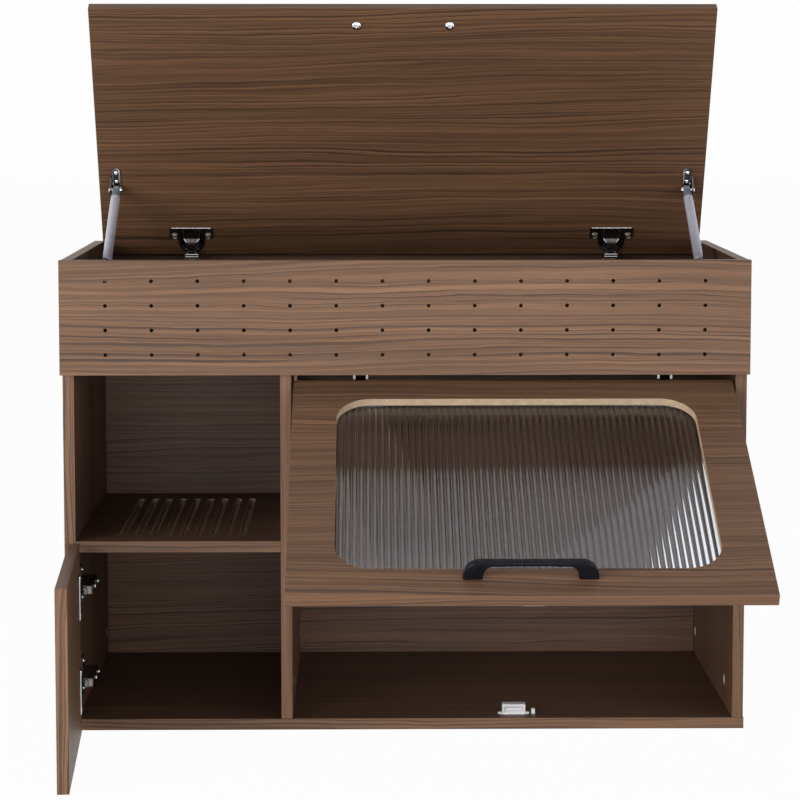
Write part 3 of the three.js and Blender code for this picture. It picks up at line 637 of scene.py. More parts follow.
def finish_board(shape, name, along, across, place, start, shaded_facings=(), **print_values):
    """Rounds a board's outer edges, and gives its faces and its end bands their walnut. Faces that look in
    one of the listed directions, into a compartment, get a darker print: painted shade."""
    along, across = Vector(along), Vector(across)
    low = Vector(min(vertex.co[i] for vertex in shape.verts) for i in range(3))
    high = Vector(max(vertex.co[i] for vertex in shape.verts) for i in range(3))
    edges = [edge for edge in shape.edges if on_box_edge(edge, low, high)]
    bmesh.ops.bevel(shape, geom=edges, offset=EDGE_ROUND, segments=2, profile=0.5, affect="EDGES")
    through = along.cross(across)
    first, *rest = (a - (low + high).dot(axis) / 2 for a, axis in zip(start, (along, across, through)))
    face_print, end_print, edge_print, inside_shade_print = (
        walnut(f"walnut_{name}{part}", grain, side, place, (first + further, *rest), **values)
        for part, grain, side, further, values in (
            ("", along, across, 0, print_values), ("_ends", across, through, 3, {}),
            ("_edges", along, through, 5, {}), ("_inside", along, across, 0, INSIDE_SHADE_PRINT)))
    for face in shape.faces:
        if face.material_index:
            continue
        if abs(face.normal.dot(along)) > FACING:
            face.material_index = 2
        elif abs(face.normal.dot(across)) > FACING:
            face.material_index = 4
        elif any(face.normal.dot(Vector(way)) > FACING for way in shaded_facings):
            face.material_index = 5
    materials = [face_print, raw_board, end_print, bore_shade, edge_print, inside_shade_print]
    return new_piece(f"board_{name}", shape, materials, place)


def board_copy(node, place):
    """A frame board as a bmesh in its leaf's directions, its loose triangles joined to flat faces."""
    shape = bmesh.new()
    shape.from_mesh(frame["nodes"][node].data)
    shape.transform(place.inverted())
    bmesh.ops.remove_doubles(shape, verts=shape.verts, dist=0.01 * MM)
    bmesh.ops.dissolve_limit(shape, angle_limit=FLAT_ANGLE, verts=shape.verts, edges=shape.edges)
    return shape


X, Y, Z = (1, 0, 0), (0, 1, 0), (0, 0, 1)
LEFTWARDS, FORWARDS, DOWNWARDS = (-1, 0, 0), (0, -1, 0), (0, 0, -1)
# The last column gives the directions of faces that take the darker print as painted shade.
BOARDS = (
    ("bottom_panel", "carcass", X, Y, HERE, (0.3, 0.02, 0.0), (Z,)),
    ("left_side_panel", "carcass", Z, Y, HERE, (1.1, 0.03, 0.01), (X,)),
    ("right_side_panel", "carcass", Z, Y, HERE, (2.3, -0.05, 0.02), (LEFTWARDS,)),
    ("back_panel", "carcass", X, Z, HERE, (3.9, 0.04, 0.0), (FORWARDS,)),
    ("storage_box_floor", "carcass", X, Y, HERE, (5.2, 0.0, 0.0), (Z, DOWNWARDS)),
    ("lid_panel", "lid", X, Y, LID, (6.35, -0.02, 0.0), ()),
    ("door_panel", "door", X, Y, door_place(0, True), (7.7, 0.03, 0.0), ()),
)
for node, body, along, across, place, start, shaded_facings in BOARDS:
    piece = finish_board(board_copy(node, place), node, along, across, place, start, shaded_facings,
                         **(LID_SHADED_PRINT if body == "lid" else {}))
    hand_over(piece, body, "walnut_board", node)

# %% [markdown]
# ## Boards with openings
#
# The vented front, the slatted shelf, the divider with the cat's doorway and the flap with its window
# are all a board with something cut out. Modelling each hole by hand would be slow to change, so
# Geometry Nodes make them: a slab with round corners is the board, its opening and its slots alike, and
# a Boolean cuts them. The cutters carry the raw fibreboard, so the cut walls show it, while the board
# keeps its film. Only the vent bores get a near-black wall instead, which is painted shade.

WELD = 0.000001


def moved(tree, geometry, x=0.0, y=0.0, z=0.0):
    inputs = {"Geometry": geometry, "Offset": xyz(tree, x, y, z)}
    return add_node(tree, "GeometryNodeSetPosition", inputs).outputs[0]


def welded(tree, *parts):
    whole = add_node(tree, "GeometryNodeJoinGeometry")
    for part in parts:
        tree.links.new(part, whole.inputs[0])
    inputs = {"Geometry": whole.outputs[0], "Distance": WELD}
    return add_node(tree, "GeometryNodeMergeByDistance", inputs).outputs[0]


def build_slab_group():
    inputs = {"Width": (NUMBER, 0.1), "Length": (NUMBER, 0.1), "Corner": (NUMBER, 0.01), "Steps": (COUNT, 8),
              "Low": (NUMBER, 0.0), "High": (NUMBER, 0.01)}
    tree, given, result = new_group("rounded_slab", "GeometryNodeTree", inputs, {"Geometry": GEOMETRY})
    outline = add_node(tree, "GeometryNodeCurvePrimitiveQuadrilateral",
                       {"Width": given["Width"], "Height": given["Length"]})
    fillet = add_node(tree, "GeometryNodeFilletCurve", {
        "Curve": outline.outputs[0], "Count": given["Steps"], "Radius": given["Corner"],
        "Limit Radius": True}, mode="POLY")
    face = add_node(tree, "GeometryNodeFillCurve", {"Curve": fillet.outputs[0]}, mode="NGONS")
    bottom = moved(tree, face.outputs[0], z=given["Low"])
    lift = xyz(tree, z=calculate(tree, "SUBTRACT", given["High"], given["Low"]))
    walls = add_node(tree, "GeometryNodeExtrudeMesh", {
        "Mesh": bottom, "Offset": lift, "Offset Scale": 1.0, "Individual": False}, mode="FACES")
    under = add_node(tree, "GeometryNodeFlipFaces", {"Mesh": bottom})
    tree.links.new(welded(tree, under.outputs[0], walls.outputs["Mesh"]), result.inputs[0])
    return tree


slab_group = build_slab_group()


def slab(tree, **values):
    return add_node(tree, "GeometryNodeGroup", values, node_tree=slab_group).outputs[0]


def painted(tree, geometry, material):
    inputs = {"Geometry": geometry, "Material": material}
    return add_node(tree, "GeometryNodeSetMaterial", inputs).outputs[0]


def blank(tree, given):
    """The uncut board with its film."""
    board = slab(tree, Width=given["Width"], Length=given["Length"], Corner=0.0, Steps=1, Low=0.0,
                 High=given["Board"])
    return painted(tree, board, given["Film"])


def copies(tree, points, instance, **more):
    """Copies of an instance on points, made real."""
    inputs = {"Points": points, "Instance": instance, **more}
    placed = add_node(tree, "GeometryNodeInstanceOnPoints", inputs).outputs[0]
    return add_node(tree, "GeometryNodeRealizeInstances", {"Geometry": placed}).outputs[0]


def cut_out(tree, body, cutters):
    node = add_node(tree, "GeometryNodeMeshBoolean", {"Mesh 1": body}, operation="DIFFERENCE", solver="EXACT")
    for cutter in cutters:
        tree.links.new(cutter, node.inputs["Mesh 2"])
    return node.outputs["Mesh"]


def end_tree(tree, geometry, raw, result):
    """Makes the copies real, and sets the raw wall's material once more where the cutters left it."""
    real = add_node(tree, "GeometryNodeRealizeInstances", {"Geometry": geometry}).outputs[0]
    walls = add_node(tree, "GeometryNodeMaterialSelection", {"Material": raw}).outputs[0]
    inputs = {"Geometry": real, "Selection": walls, "Material": raw}
    tree.links.new(add_node(tree, "GeometryNodeSetMaterial", inputs).outputs[0], result.inputs[0])


def run_tree(piece, tree, values):
    """Runs a Geometry Nodes tree once on a piece, which then holds the plain mesh it made."""
    modifier = piece.modifiers.new("run_tree", "NODES")
    modifier.node_group = tree
    for item in tree.interface.items_tree:
        if item.item_type == "SOCKET" and item.in_out == "INPUT" and item.name in values:
            modifier[item.identifier] = values[item.name]
    return bake(piece)


def grow(name, tree, values):
    piece = bpy.data.objects.new(name, bpy.data.meshes.new(name))
    scene.collection.objects.link(piece)
    return run_tree(piece, tree, values)


BOARD_SOCKETS = {"Width": (NUMBER, 0.5), "Length": (NUMBER, 0.5), "Board": (NUMBER, 0.015),
                 "Film": (MATERIAL, None), "Raw": (MATERIAL, None)}


# %% Make the tree for the vented front
def build_vented_board():
    inputs = {**BOARD_SOCKETS, "Columns": (COUNT, 14), "Rows": (COUNT, 4), "Pitch X": (NUMBER, 0.06),
              "Pitch Y": (NUMBER, 0.032), "First Drop": (NUMBER, 0.027), "Radius": (NUMBER, 0.0025),
              "Chamfer": (NUMBER, 0.00015), "Bore": (MATERIAL, None)}
    tree, given, result = new_group("vented_board", "GeometryNodeTree", inputs, {"Geometry": GEOMETRY})
    maths = partial(calculate, tree)
    across = maths("MULTIPLY", maths("SUBTRACT", given["Columns"], 1.0), given["Pitch X"])
    down = maths("MULTIPLY", maths("SUBTRACT", given["Rows"], 1.0), given["Pitch Y"])
    grid = add_node(tree, "GeometryNodeMeshGrid", {
        "Size X": across, "Size Y": down, "Vertices X": given["Columns"], "Vertices Y": given["Rows"]})
    first_row = maths("SUBTRACT", maths("MULTIPLY", given["Length"], 0.5), given["First Drop"])
    points = moved(tree, grid.outputs[0], y=maths("SUBTRACT", first_row, maths("MULTIPLY", down, 0.5)))
    drill = add_node(tree, "GeometryNodeMeshCylinder", {
        "Vertices": 24, "Radius": given["Radius"], "Depth": maths("MULTIPLY", given["Board"], 3.0)})
    sink = add_node(tree, "GeometryNodeMeshCone", {
        "Vertices": 24, "Radius Top": maths("MULTIPLY_ADD", given["Chamfer"], 2.0, given["Radius"]),
        "Radius Bottom": 0.0, "Depth": maths("MULTIPLY", given["Chamfer"], 4.0)})
    top = maths("SUBTRACT", given["Board"], maths("MULTIPLY", given["Chamfer"], 3.0))
    # The drills carry the near-black bore material, which is painted shade, and the sinks carry raw
    # fibreboard.
    tools = ((drill.outputs[0], given["Bore"]), (moved(tree, sink.outputs[0], z=top), given["Raw"]))
    cutters = [painted(tree, copies(tree, points, tool), material) for tool, material in tools]
    end_tree(tree, cut_out(tree, blank(tree, given), cutters), given["Raw"], result)
    return tree


def board_from(piece, place):
    """The grown board as a bmesh, with slot 1 on its raw walls and slot 3 on its bores, whose near-black wall
    is painted shade.
    """
    shape = bmesh.new()
    shape.from_mesh(piece.data)
    slots = {raw_board: 1, bore_shade: 3}
    slots = [slots.get(material, 0) for material in piece.data.materials]
    for face in shape.faces:
        face.material_index = slots[face.material_index]
    bpy.data.objects.remove(piece)
    bmesh.ops.dissolve_limit(shape, angle_limit=FLAT_ANGLE, verts=shape.verts, edges=shape.edges,
                             delimit={"MATERIAL"})
    return shape


film = walnut("walnut_film", X, Y)


def board_values(width, length, board):
    return {"Width": width, "Length": length, "Board": board, "Film": film, "Raw": raw_board}


def measure(node, place=HERE):
    """Lowest corner, highest corner, size and middle of a frame node in a leaf's directions."""
    low, high = span(node, place)
    return low, high, high - low, (low + high) / 2


low, high, size, middle = measure("perforated_front_panel")
FRONT = at((middle.x, high.y, middle.z)) @ UPRIGHT
vented = grow("vented", build_vented_board(), {**board_values(size.x, size.z, size.y), "Bore": bore_shade})
front = finish_board(board_from(vented, FRONT), "perforated_front", X, Y, FRONT, (9.4, 0.06, 0.0))
hand_over(front, "carcass", "walnut_board", "perforated_front_panel")


# %% Make the slatted shelf
def build_slotted_board():
    inputs = {**BOARD_SOCKETS, "Slots": (COUNT, 9), "Pitch": (NUMBER, 0.02), "Slot Width": (NUMBER, 0.01),
              "Slot Length": (NUMBER, 0.302), "Centre X": (NUMBER, 0.0), "Centre Y": (NUMBER, 0.0)}
    tree, given, result = new_group("slotted_board", "GeometryNodeTree", inputs, {"Geometry": GEOMETRY})
    maths = partial(calculate, tree)
    slot = slab(tree, Width=given["Slot Width"], Length=given["Slot Length"],
                Corner=maths("MULTIPLY", given["Slot Width"], 0.4999), Steps=8,
                Low=maths("MULTIPLY", given["Board"], -1.0), High=maths("MULTIPLY", given["Board"], 2.0))
    reach = maths("MULTIPLY", maths("SUBTRACT", given["Slots"], 1.0), given["Pitch"])
    first = maths("MULTIPLY_ADD", reach, -0.5, given["Centre X"])
    row = add_node(tree, "GeometryNodeMeshLine", {
        "Count": given["Slots"], "Start Location": xyz(tree, first, given["Centre Y"]),
        "Offset": xyz(tree, given["Pitch"])})
    slots = painted(tree, copies(tree, row.outputs[0], slot), given["Raw"])
    end_tree(tree, cut_out(tree, blank(tree, given), [slots]), given["Raw"], result)
    return tree


SLOTS_CENTRE_X, SLOTS_FRONT, SLOTS_BACK = -0.296, 0.044, 0.346
low, high, size, middle = measure("slatted_shelf")
SHELF = at((middle.x, middle.y, low.z))
slotted = grow("slotted", build_slotted_board(), {
    **board_values(size.x, size.y, size.z), "Slot Length": SLOTS_BACK - SLOTS_FRONT,
    "Centre X": SLOTS_CENTRE_X - middle.x, "Centre Y": (SLOTS_FRONT + SLOTS_BACK) / 2 - size.y / 2})
# Both faces of the shelf take the darker print as painted shade.
shelf = finish_board(board_from(slotted, SHELF), "slatted_shelf", X, Y, SHELF, (11.2, 0.01, 0.0),
                     (Z, DOWNWARDS))
hand_over(shelf, "carcass", "walnut_inside", "slatted_shelf")


# %% Make the divider and the flap
def build_opened_board():
    inputs = {**BOARD_SOCKETS, "Opening Width": (NUMBER, 0.2), "Opening Length": (NUMBER, 0.2),
              "Corner": (NUMBER, 0.04), "Centre X": (NUMBER, 0.0), "Centre Y": (NUMBER, 0.0),
              "Rebate": (NUMBER, 0.0), "Lap": (NUMBER, 0.0)}
    tree, given, result = new_group("opened_board", "GeometryNodeTree", inputs, {"Geometry": GEOMETRY})
    maths = partial(calculate, tree)
    low, high = maths("MULTIPLY", given["Board"], -1.0), maths("MULTIPLY", given["Board"], 2.0)
    twice = maths("MULTIPLY", given["Lap"], 2.0)
    opening_slab = slab(tree, Width=given["Opening Width"], Length=given["Opening Length"],
                        Corner=given["Corner"], Steps=20, Low=low, High=high)
    rebate_slab = slab(tree, Width=maths("ADD", given["Opening Width"], twice),
                       Length=maths("ADD", given["Opening Length"], twice),
                       Corner=maths("ADD", given["Corner"], given["Lap"]), Steps=20, Low=low,
                       High=given["Rebate"])
    cutters = [painted(tree, moved(tree, tool, given["Centre X"], given["Centre Y"]), given["Raw"])
               for tool in (opening_slab, rebate_slab)]
    end_tree(tree, cut_out(tree, blank(tree, given), cutters), given["Raw"], result)
    return tree


def bore_cutter(places, radius, low, high):
    """Round cutters at (x, y) places between two heights, as one object."""
    shape = bmesh.new()
    for x, y in places:
        add_turned(shape, ((0, low), (radius, low), (radius, high), (0, high)), 32, at((x, y, 0)))
    return new_piece("cutter", shape, [raw_board])


THROUGH = 0.01
DOORWAY = {"front": 0.092, "back": 0.278, "bottom": 0.272, "top": 0.458, "corner": 0.040}
CAM_RADIUS, CAM_HEIGHT, CAM_BORE, CAM_DEPTH = 0.0075, 0.049, 0.0078, 0.0123
SIDEWAYS = Matrix(((0, 0, 1, 0), (1, 0, 0, 0), (0, 1, 0, 0), (0, 0, 0, 1)))
low, high, size, middle = measure("divider_panel")
DIVIDER = at((low.x, middle.y, middle.z)) @ SIDEWAYS
opened_tree = build_opened_board()
doorway = grow("doorway", opened_tree, {
    **board_values(size.y, size.z, size.x), "Opening Width": DOORWAY["back"] - DOORWAY["front"],
    "Opening Length": DOORWAY["top"] - DOORWAY["bottom"], "Corner": DOORWAY["corner"],
    "Centre X": (DOORWAY["front"] + DOORWAY["back"]) / 2 - size.y / 2,
    "Centre Y": (DOORWAY["bottom"] + DOORWAY["top"]) / 2 - middle.z, "Rebate": -0.005})
cam_places = [(span(f"cam_lock_divider_{end}")[0].y + CAM_RADIUS - middle.y, CAM_HEIGHT - middle.z)
              for end in ("front", "rear")]
carve(doorway, bore_cutter(cam_places, CAM_BORE, size.x - CAM_DEPTH, size.x + THROUGH))
# Both faces of the divider take the darker print as painted shade.
divider = finish_board(board_from(doorway, DIVIDER), "divider", Y, X, DIVIDER, (12.9, 0.0, 0.0),
                       (Z, DOWNWARDS))
hand_over(divider, "carcass", "walnut_inside", "divider_panel")

PLAY = 0.0003
WINDOW = {"top": 0.044, "bottom": 0.052, "side": 0.057, "corner": 0.045, "lap": 0.005, "rebate": 0.005}
CUP_CENTRE, CUP_RADIUS, CUP_DEPTH = -0.0105, 0.0175, 0.0115
HANDLE_HOLES, SHANK = 0.128, 0.002
low, high, size, middle = measure("flap_panel", FLAP)
FLAP_BOARD = FLAP @ at((middle.x, middle.y, low.z))
WINDOW_SIZE = (size.x - 2 * WINDOW["side"], size.y - WINDOW["top"] - WINDOW["bottom"])
WINDOW_CENTRE_Y = (WINDOW["bottom"] - WINDOW["top"]) / 2
framed = grow("framed", opened_tree, {
    **board_values(size.x, size.y, size.z), "Opening Width": WINDOW_SIZE[0],
    "Opening Length": WINDOW_SIZE[1], "Corner": WINDOW["corner"], "Centre Y": WINDOW_CENTRE_Y,
    "Rebate": WINDOW["rebate"], "Lap": WINDOW["lap"]})
cup_places = [(measure(f"flap_hinge_cup_{side}", FLAP)[3].x - middle.x, CUP_CENTRE - middle.y)
              for side in ("left", "right")]
carve(framed, bore_cutter(cup_places, CUP_RADIUS, -THROUGH, CUP_DEPTH))
handle_y = measure("flap_handle", FLAP)[3].y - middle.y
handle_places = [(side * HANDLE_HOLES / 2, handle_y) for side in (-1, 1)]
carve(framed, bore_cutter(handle_places, SHANK + PLAY, -THROUGH, size.z + THROUGH))
flap_board = finish_board(board_from(framed, FLAP_BOARD), "flap", X, Y, FLAP_BOARD, (14.6, -0.03, 0.0))
hand_over(flap_board, "flap", "walnut_board", "flap_panel")
bpy.data.materials.remove(film)

# %% [markdown]
# ## The fluted window
#
# The window is one clear sheet with rounded flutes on its outer face and a flat back. Real flutes bend
# the view and break up reflections, and only real geometry does that from every angle, so the tree
# makes a grid with twelve steps to a flute, lifts it along a cosine, gives it thickness and clips it to
# the rounded opening.

# %% Make the fluted sheet
def build_fluted_sheet():
    inputs = {"Width": (NUMBER, 0.45), "Length": (NUMBER, 0.35), "Corner": (NUMBER, 0.05),
              "Flute": (NUMBER, 0.0083), "Crest": (NUMBER, 0.0017), "Sheet": (NUMBER, 0.004),
              "Steps": (COUNT, 12), "Glazing": (MATERIAL, None)}
    tree, given, result = new_group("fluted_sheet", "GeometryNodeTree", inputs, {"Geometry": GEOMETRY})
    maths = partial(calculate, tree)
    flutes = maths("ADD", maths("CEIL", maths("DIVIDE", given["Width"], given["Flute"])), 2.0)
    grid = add_node(tree, "GeometryNodeMeshGrid", {
        "Size X": maths("MULTIPLY", flutes, given["Flute"]), "Size Y": maths("ADD", given["Length"], 0.02),
        "Vertices X": maths("ADD", maths("MULTIPLY", flutes, given["Steps"]), 1.0), "Vertices Y": 2})
    place = add_node(tree, "GeometryNodeInputPosition").outputs[0]
    axes = add_node(tree, "ShaderNodeSeparateXYZ", {0: place}).outputs
    turns = maths("MULTIPLY", maths("DIVIDE", axes["X"], given["Flute"]), 2 * math.pi)
    wave = maths("MULTIPLY_ADD", maths("COSINE", turns), 0.5, 0.5)
    plain = maths("SUBTRACT", given["Sheet"], given["Crest"])
    crest = moved(tree, grid.outputs[0], z=maths("MULTIPLY_ADD", wave, given["Crest"], plain))
    body = add_node(tree, "GeometryNodeExtrudeMesh", {
        "Mesh": crest, "Offset": xyz(tree, z=-1.0), "Offset Scale": 0.01, "Individual": False}, mode="FACES")
    body = add_node(tree, "GeometryNodeSetPosition", {
        "Geometry": body.outputs["Mesh"], "Position": xyz(tree, axes["X"], axes["Y"], -0.005),
        "Selection": body.outputs["Top"]})
    body = add_node(tree, "GeometryNodeFlipFaces", {"Mesh": body.outputs[0]}).outputs[0]
    outline = slab(tree, Width=given["Width"], Length=given["Length"], Corner=given["Corner"], Steps=20,
                   Low=0.0, High=0.02)
    clipped = add_node(tree, "GeometryNodeMeshBoolean", operation="INTERSECT", solver="EXACT")
    for part in (welded(tree, crest, body), outline):
        tree.links.new(part, clipped.inputs["Mesh 2"])
    real = add_node(tree, "GeometryNodeRealizeInstances", {"Geometry": clipped.outputs["Mesh"]}).outputs[0]
    tree.links.new(painted(tree, real, given["Glazing"]), result.inputs[0])
    return tree


def build_glazing():
    material, tree = new_material("clear_fluted_sheet")
    haze = noise(tree, object_place(tree), (9, 9, 9), 3.0)
    rough = calculate(tree, "MULTIPLY_ADD", haze, 0.05, 0.015)
    tint = mix_colour(tree, haze, (0.80, 0.86, 0.98, 1), (0.88, 0.93, 1.0, 1))
    shader = add_node(tree, "ShaderNodeBsdfPrincipled", {
        "Base Color": tint, "Roughness": rough, "IOR": 1.49, "Transmission Weight": 1.0})
    add_node(tree, "ShaderNodeOutputMaterial", {"Surface": shader.outputs[0]})
    return material


reach = WINDOW["lap"] - PLAY
sheet = grow("fluted_pane", build_fluted_sheet(), {
    "Width": WINDOW_SIZE[0] + 2 * reach, "Length": WINDOW_SIZE[1] + 2 * reach,
    "Corner": WINDOW["corner"] + reach, "Glazing": build_glazing()})
sheet.data.transform(FLAP_BOARD @ at((0, WINDOW_CENTRE_Y, PLAY)))
shade(sheet.data, 40)
hand_over(sheet, "flap", "fluted_sheet", "fluted_window")

# %% [markdown]
# ## Screws
#
# Every screw on the cabinet has a pan head with a cross recess. We make one head as a turned dome and
# cut the cross out of it. Geometry Nodes then set copies on marked points, each turned a little
# differently, as a hand leaves them. The points carry the head's size and the direction it faces.

# %% Make the screw head
def build_screw_head():
    """A head of radius 1 on its seat at height 0, with the cross recess in its dome."""
    dome = bmesh.new()
    profile = [(0, -0.35), (0.42, -0.35), (0.42, 0.0), (0.93, 0.0), (1.0, 0.07)]
    profile += [(math.cos(math.radians(angle)), 0.12 + 0.42 * math.sin(math.radians(angle)))
                for angle in (8, 20, 34, 50, 66, 80)]
    add_turned(dome, profile + [(0, 0.54)], 28)
    head = new_piece("screw_head", dome, [])
    cross = bmesh.new()
    for wide, deep in ((0.50, 0.10), (0.10, 0.50)):
        add_plate(cross, [(-wide, -deep), (wide, -deep), (wide, deep), (-wide, deep)], 0.22, 1.0)
    return carve(head, new_piece("cross", cross, []), use_self=True, material_mode="INDEX")


screw_head = build_screw_head()
print("a screw head has", len(screw_head.data.polygons), "faces")


# %% Make the tree that sets screws
def build_screw_setter():
    inputs = {"Geometry": (GEOMETRY, None), "Head": ("NodeSocketObject", None), "Material": (MATERIAL, None),
              "Seed": (COUNT, 1)}
    tree, given, result = new_group("set_screws", "GeometryNodeTree", inputs, {"Geometry": GEOMETRY})
    head = add_node(tree, "GeometryNodeObjectInfo", {"Object": given["Head"]}).outputs["Geometry"]
    facing, radius = (
        add_node(tree, "GeometryNodeInputNamedAttribute", {"Name": name}, data_type=kind).outputs["Attribute"]
        for name, kind in (("facing", "FLOAT_VECTOR"), ("head_radius", "FLOAT")))
    turn = add_node(tree, "FunctionNodeAlignRotationToVector", {"Vector": facing}, axis="Z").outputs[0]
    spin = add_node(tree, "FunctionNodeRandomValue", {"Max": 1.5, "Seed": given["Seed"]}, data_type="FLOAT")
    own_turn = add_node(tree, "FunctionNodeEulerToRotation", {"Euler": xyz(tree, z=spin.outputs["Value"])})
    rotation = add_node(tree, "FunctionNodeRotateRotation",
                        {"Rotation": turn, "Rotate By": own_turn.outputs[0]}, rotation_space="LOCAL")
    heads = copies(tree, given["Geometry"], head, Rotation=rotation.outputs[0], Scale=radius)
    tree.links.new(painted(tree, heads, given["Material"]), result.inputs[0])
    return tree


screw_setter = build_screw_setter()


def set_screws(name, places, material, body, slot, *nodes, seed=1):
    """Screw heads at (position, direction, radius) places, joined to one piece."""
    points = bpy.data.meshes.new(name)
    points.from_pydata([place for place, _, _ in places], [], [])
    points.attributes.new("facing", "FLOAT_VECTOR", "POINT")
    points.attributes.new("head_radius", "FLOAT", "POINT")
    for i, (_, direction, size) in enumerate(places):
        points.attributes["facing"].data[i].vector = direction
        points.attributes["head_radius"].data[i].value = size
    piece = bpy.data.objects.new(name, points)
    scene.collection.objects.link(piece)
    run_tree(piece, screw_setter, {"Head": screw_head, "Material": material, "Seed": seed})
    shade(piece.data, 35)
    hand_over(piece, body, slot, *nodes)


def screw(matrix, x, u, v, radius, direction=DOWNWARDS):
    """Position, direction and radius of a screw head, from a place and a direction of a leaf."""
    return matrix @ Vector((x, u, v)), matrix.to_3x3() @ Vector(direction), radius


# %% [markdown]
# ## Bow handles
#
# The black handle is a cast bow: two flared feet run up into a slim bar. Its outer and inner outlines
# are two smooth curves. Between them we lay rings with rounded corners, one after another from foot to
# foot, so the bar is thick at the feet, slim in the middle and nowhere sharp.

# %% Make the handles
HANDLE_LENGTH, HANDLE_RISE, HANDLE_BAR, HANDLE_FOOT, HANDLE_WIDTH = 0.161, 0.025, 0.0066, 0.024, 0.010
LEAF_FACE = -0.0153


def bezier(points, t):
    a, b, c, d = (Vector(point) for point in points)
    s = 1 - t
    return a * s ** 3 + b * 3 * s * s * t + c * 3 * s * t * t + d * t ** 3


def handle_outlines(steps=18):
    """Matching points of the outer and the inner outline, from one foot to the middle of the bar."""
    end, inner = HANDLE_LENGTH / 2, HANDLE_LENGTH / 2 - HANDLE_FOOT
    under = HANDLE_RISE - HANDLE_BAR
    outer_curve = ((-end, PLAY), (-end + 0.001, 0.014), (-end + 0.006, HANDLE_RISE),
                   (-end + 0.022, HANDLE_RISE))
    inner_curve = ((-inner, PLAY), (-inner + 0.001, 0.011), (-inner + 0.004, under), (-inner + 0.014, under))
    pairs = [(bezier(outer_curve, i / steps), bezier(inner_curve, i / steps)) for i in range(steps + 1)]
    for share in (0.33, 0.66, 1.0):
        outer_x, inner_x = (-end + 0.022) * (1 - share), (-inner + 0.014) * (1 - share)
        pairs.append((Vector((outer_x, HANDLE_RISE)), Vector((inner_x, under))))
    return pairs


def handle_ring(outer, inner, u, mirror):
    """A ring with rounded corners between an outer and an inner point, across the handle's width."""
    reach = (outer - inner).length
    ring = []
    for a, b in rounded_outline(-HANDLE_WIDTH / 2, HANDLE_WIDTH / 2, 0, reach, min(0.0032, reach * 0.4), 4):
        point = inner.lerp(outer, b / reach)
        ring.append((point.x * mirror, u + a, point.y))
    return ring


def handle_shape(u):
    """The whole bow at u, from the left foot over the bar to the right foot."""
    shape = bmesh.new()
    pairs = handle_outlines()
    rings = [handle_ring(*pair, u, 1) for pair in pairs]
    rings += [handle_ring(*pair, u, -1) for pair in pairs[-2::-1]]
    loft(shape, rings, caps=True)
    return shape


for body, matrix in (("lid", LID), ("flap", FLAP)):
    middle = measure(f"{body}_handle", matrix)[3]
    deliver(f"{body}_bow_handle", handle_shape(middle.y), [black], matrix @ at((middle.x, 0, 0)), body,
            "black_handle", f"{body}_handle", sharp=40)
    places = [screw(matrix, middle.x + side * HANDLE_HOLES / 2, middle.y, LEAF_FACE, 0.0065)
              for side in (-1, 1)]
    set_screws(f"{body}_handle_screws", places, steel, body, "bright_steel", f"{body}_handle_screw_left",
               f"{body}_handle_screw_right", seed=3)

# %% [markdown]
# ## Concealed hinges
#
# Each hinge is a pressed cup in the leaf with a flange that takes two screws, a folded neck, and a
# slotted arm on a mounting plate. The lid and the flap lie inside the carcass, so their arms are
# cranked. Everything is bent from sheet, so plates with small rounded rims and bent strips make it, and
# the little clip, the adjusting screws and the rivets give the eye what it expects.

# %% Make the cups
CUP_PLATE, RIM = 0.0010, 0.0009
WING = {"u": 0.0315, "from": 0.0267, "to": 0.0430, "length": 0.062, "screws": 0.048, "corner": 0.0035}
NECK = {"inner": 0.017, "outer": 0.023, "start": 48, "end": 118}
NECK_WIDTHS = ((0.0, 0.0112), (0.30, 0.0064), (1.0, 0.0062))
FUNNEL_FROM, FUNNEL_WIDE = -0.0285, 0.0120
ALONG_X = Matrix.Rotation(math.radians(90), 4, "Y")


def add_cup(shape, edge, inner, flange_to):
    """The pressed cup with its flange. edge is the leaf's hinge edge and inner its inner face, in u and v.
    Its screw dishes take the second material, a painted highlight where that is brighter steel.
    """
    u, face = edge - 0.0225, inner - PLAY
    rim, wall = CUP_RADIUS + 0.0015, CUP_RADIUS - PLAY
    deep, pocket = inner + CUP_DEPTH - PLAY, inner + CUP_DEPTH - 0.0017
    profile = ((0, deep), (wall - 0.002, deep), (wall, inner + 0.009), (wall, face), (rim, face),
               (rim, face - CUP_PLATE * 0.6), (rim - 0.0005, face - CUP_PLATE),
               (wall - 0.0016, face - CUP_PLATE), (wall - 0.0026, face - CUP_PLATE * 0.3),
               (wall - 0.0034, inner + 0.0075), (wall - 0.005, pocket), (0, pocket))
    add_turned(shape, profile, 48, at((0, u, 0)))
    add_flange(shape, edge, edge - flange_to, face, u)
    dish = ((0.0031, face - CUP_PLATE * 0.8), (0.0040, face - CUP_PLATE - 0.0009),
            (0.0046, face - CUP_PLATE - 0.0009), (0.0052, face - CUP_PLATE * 0.6))
    for side in (-1, 1):
        add_turned(shape, dish, 28, at((side * WING["screws"] / 2, edge - WING["u"], 0)), 1, around=True)


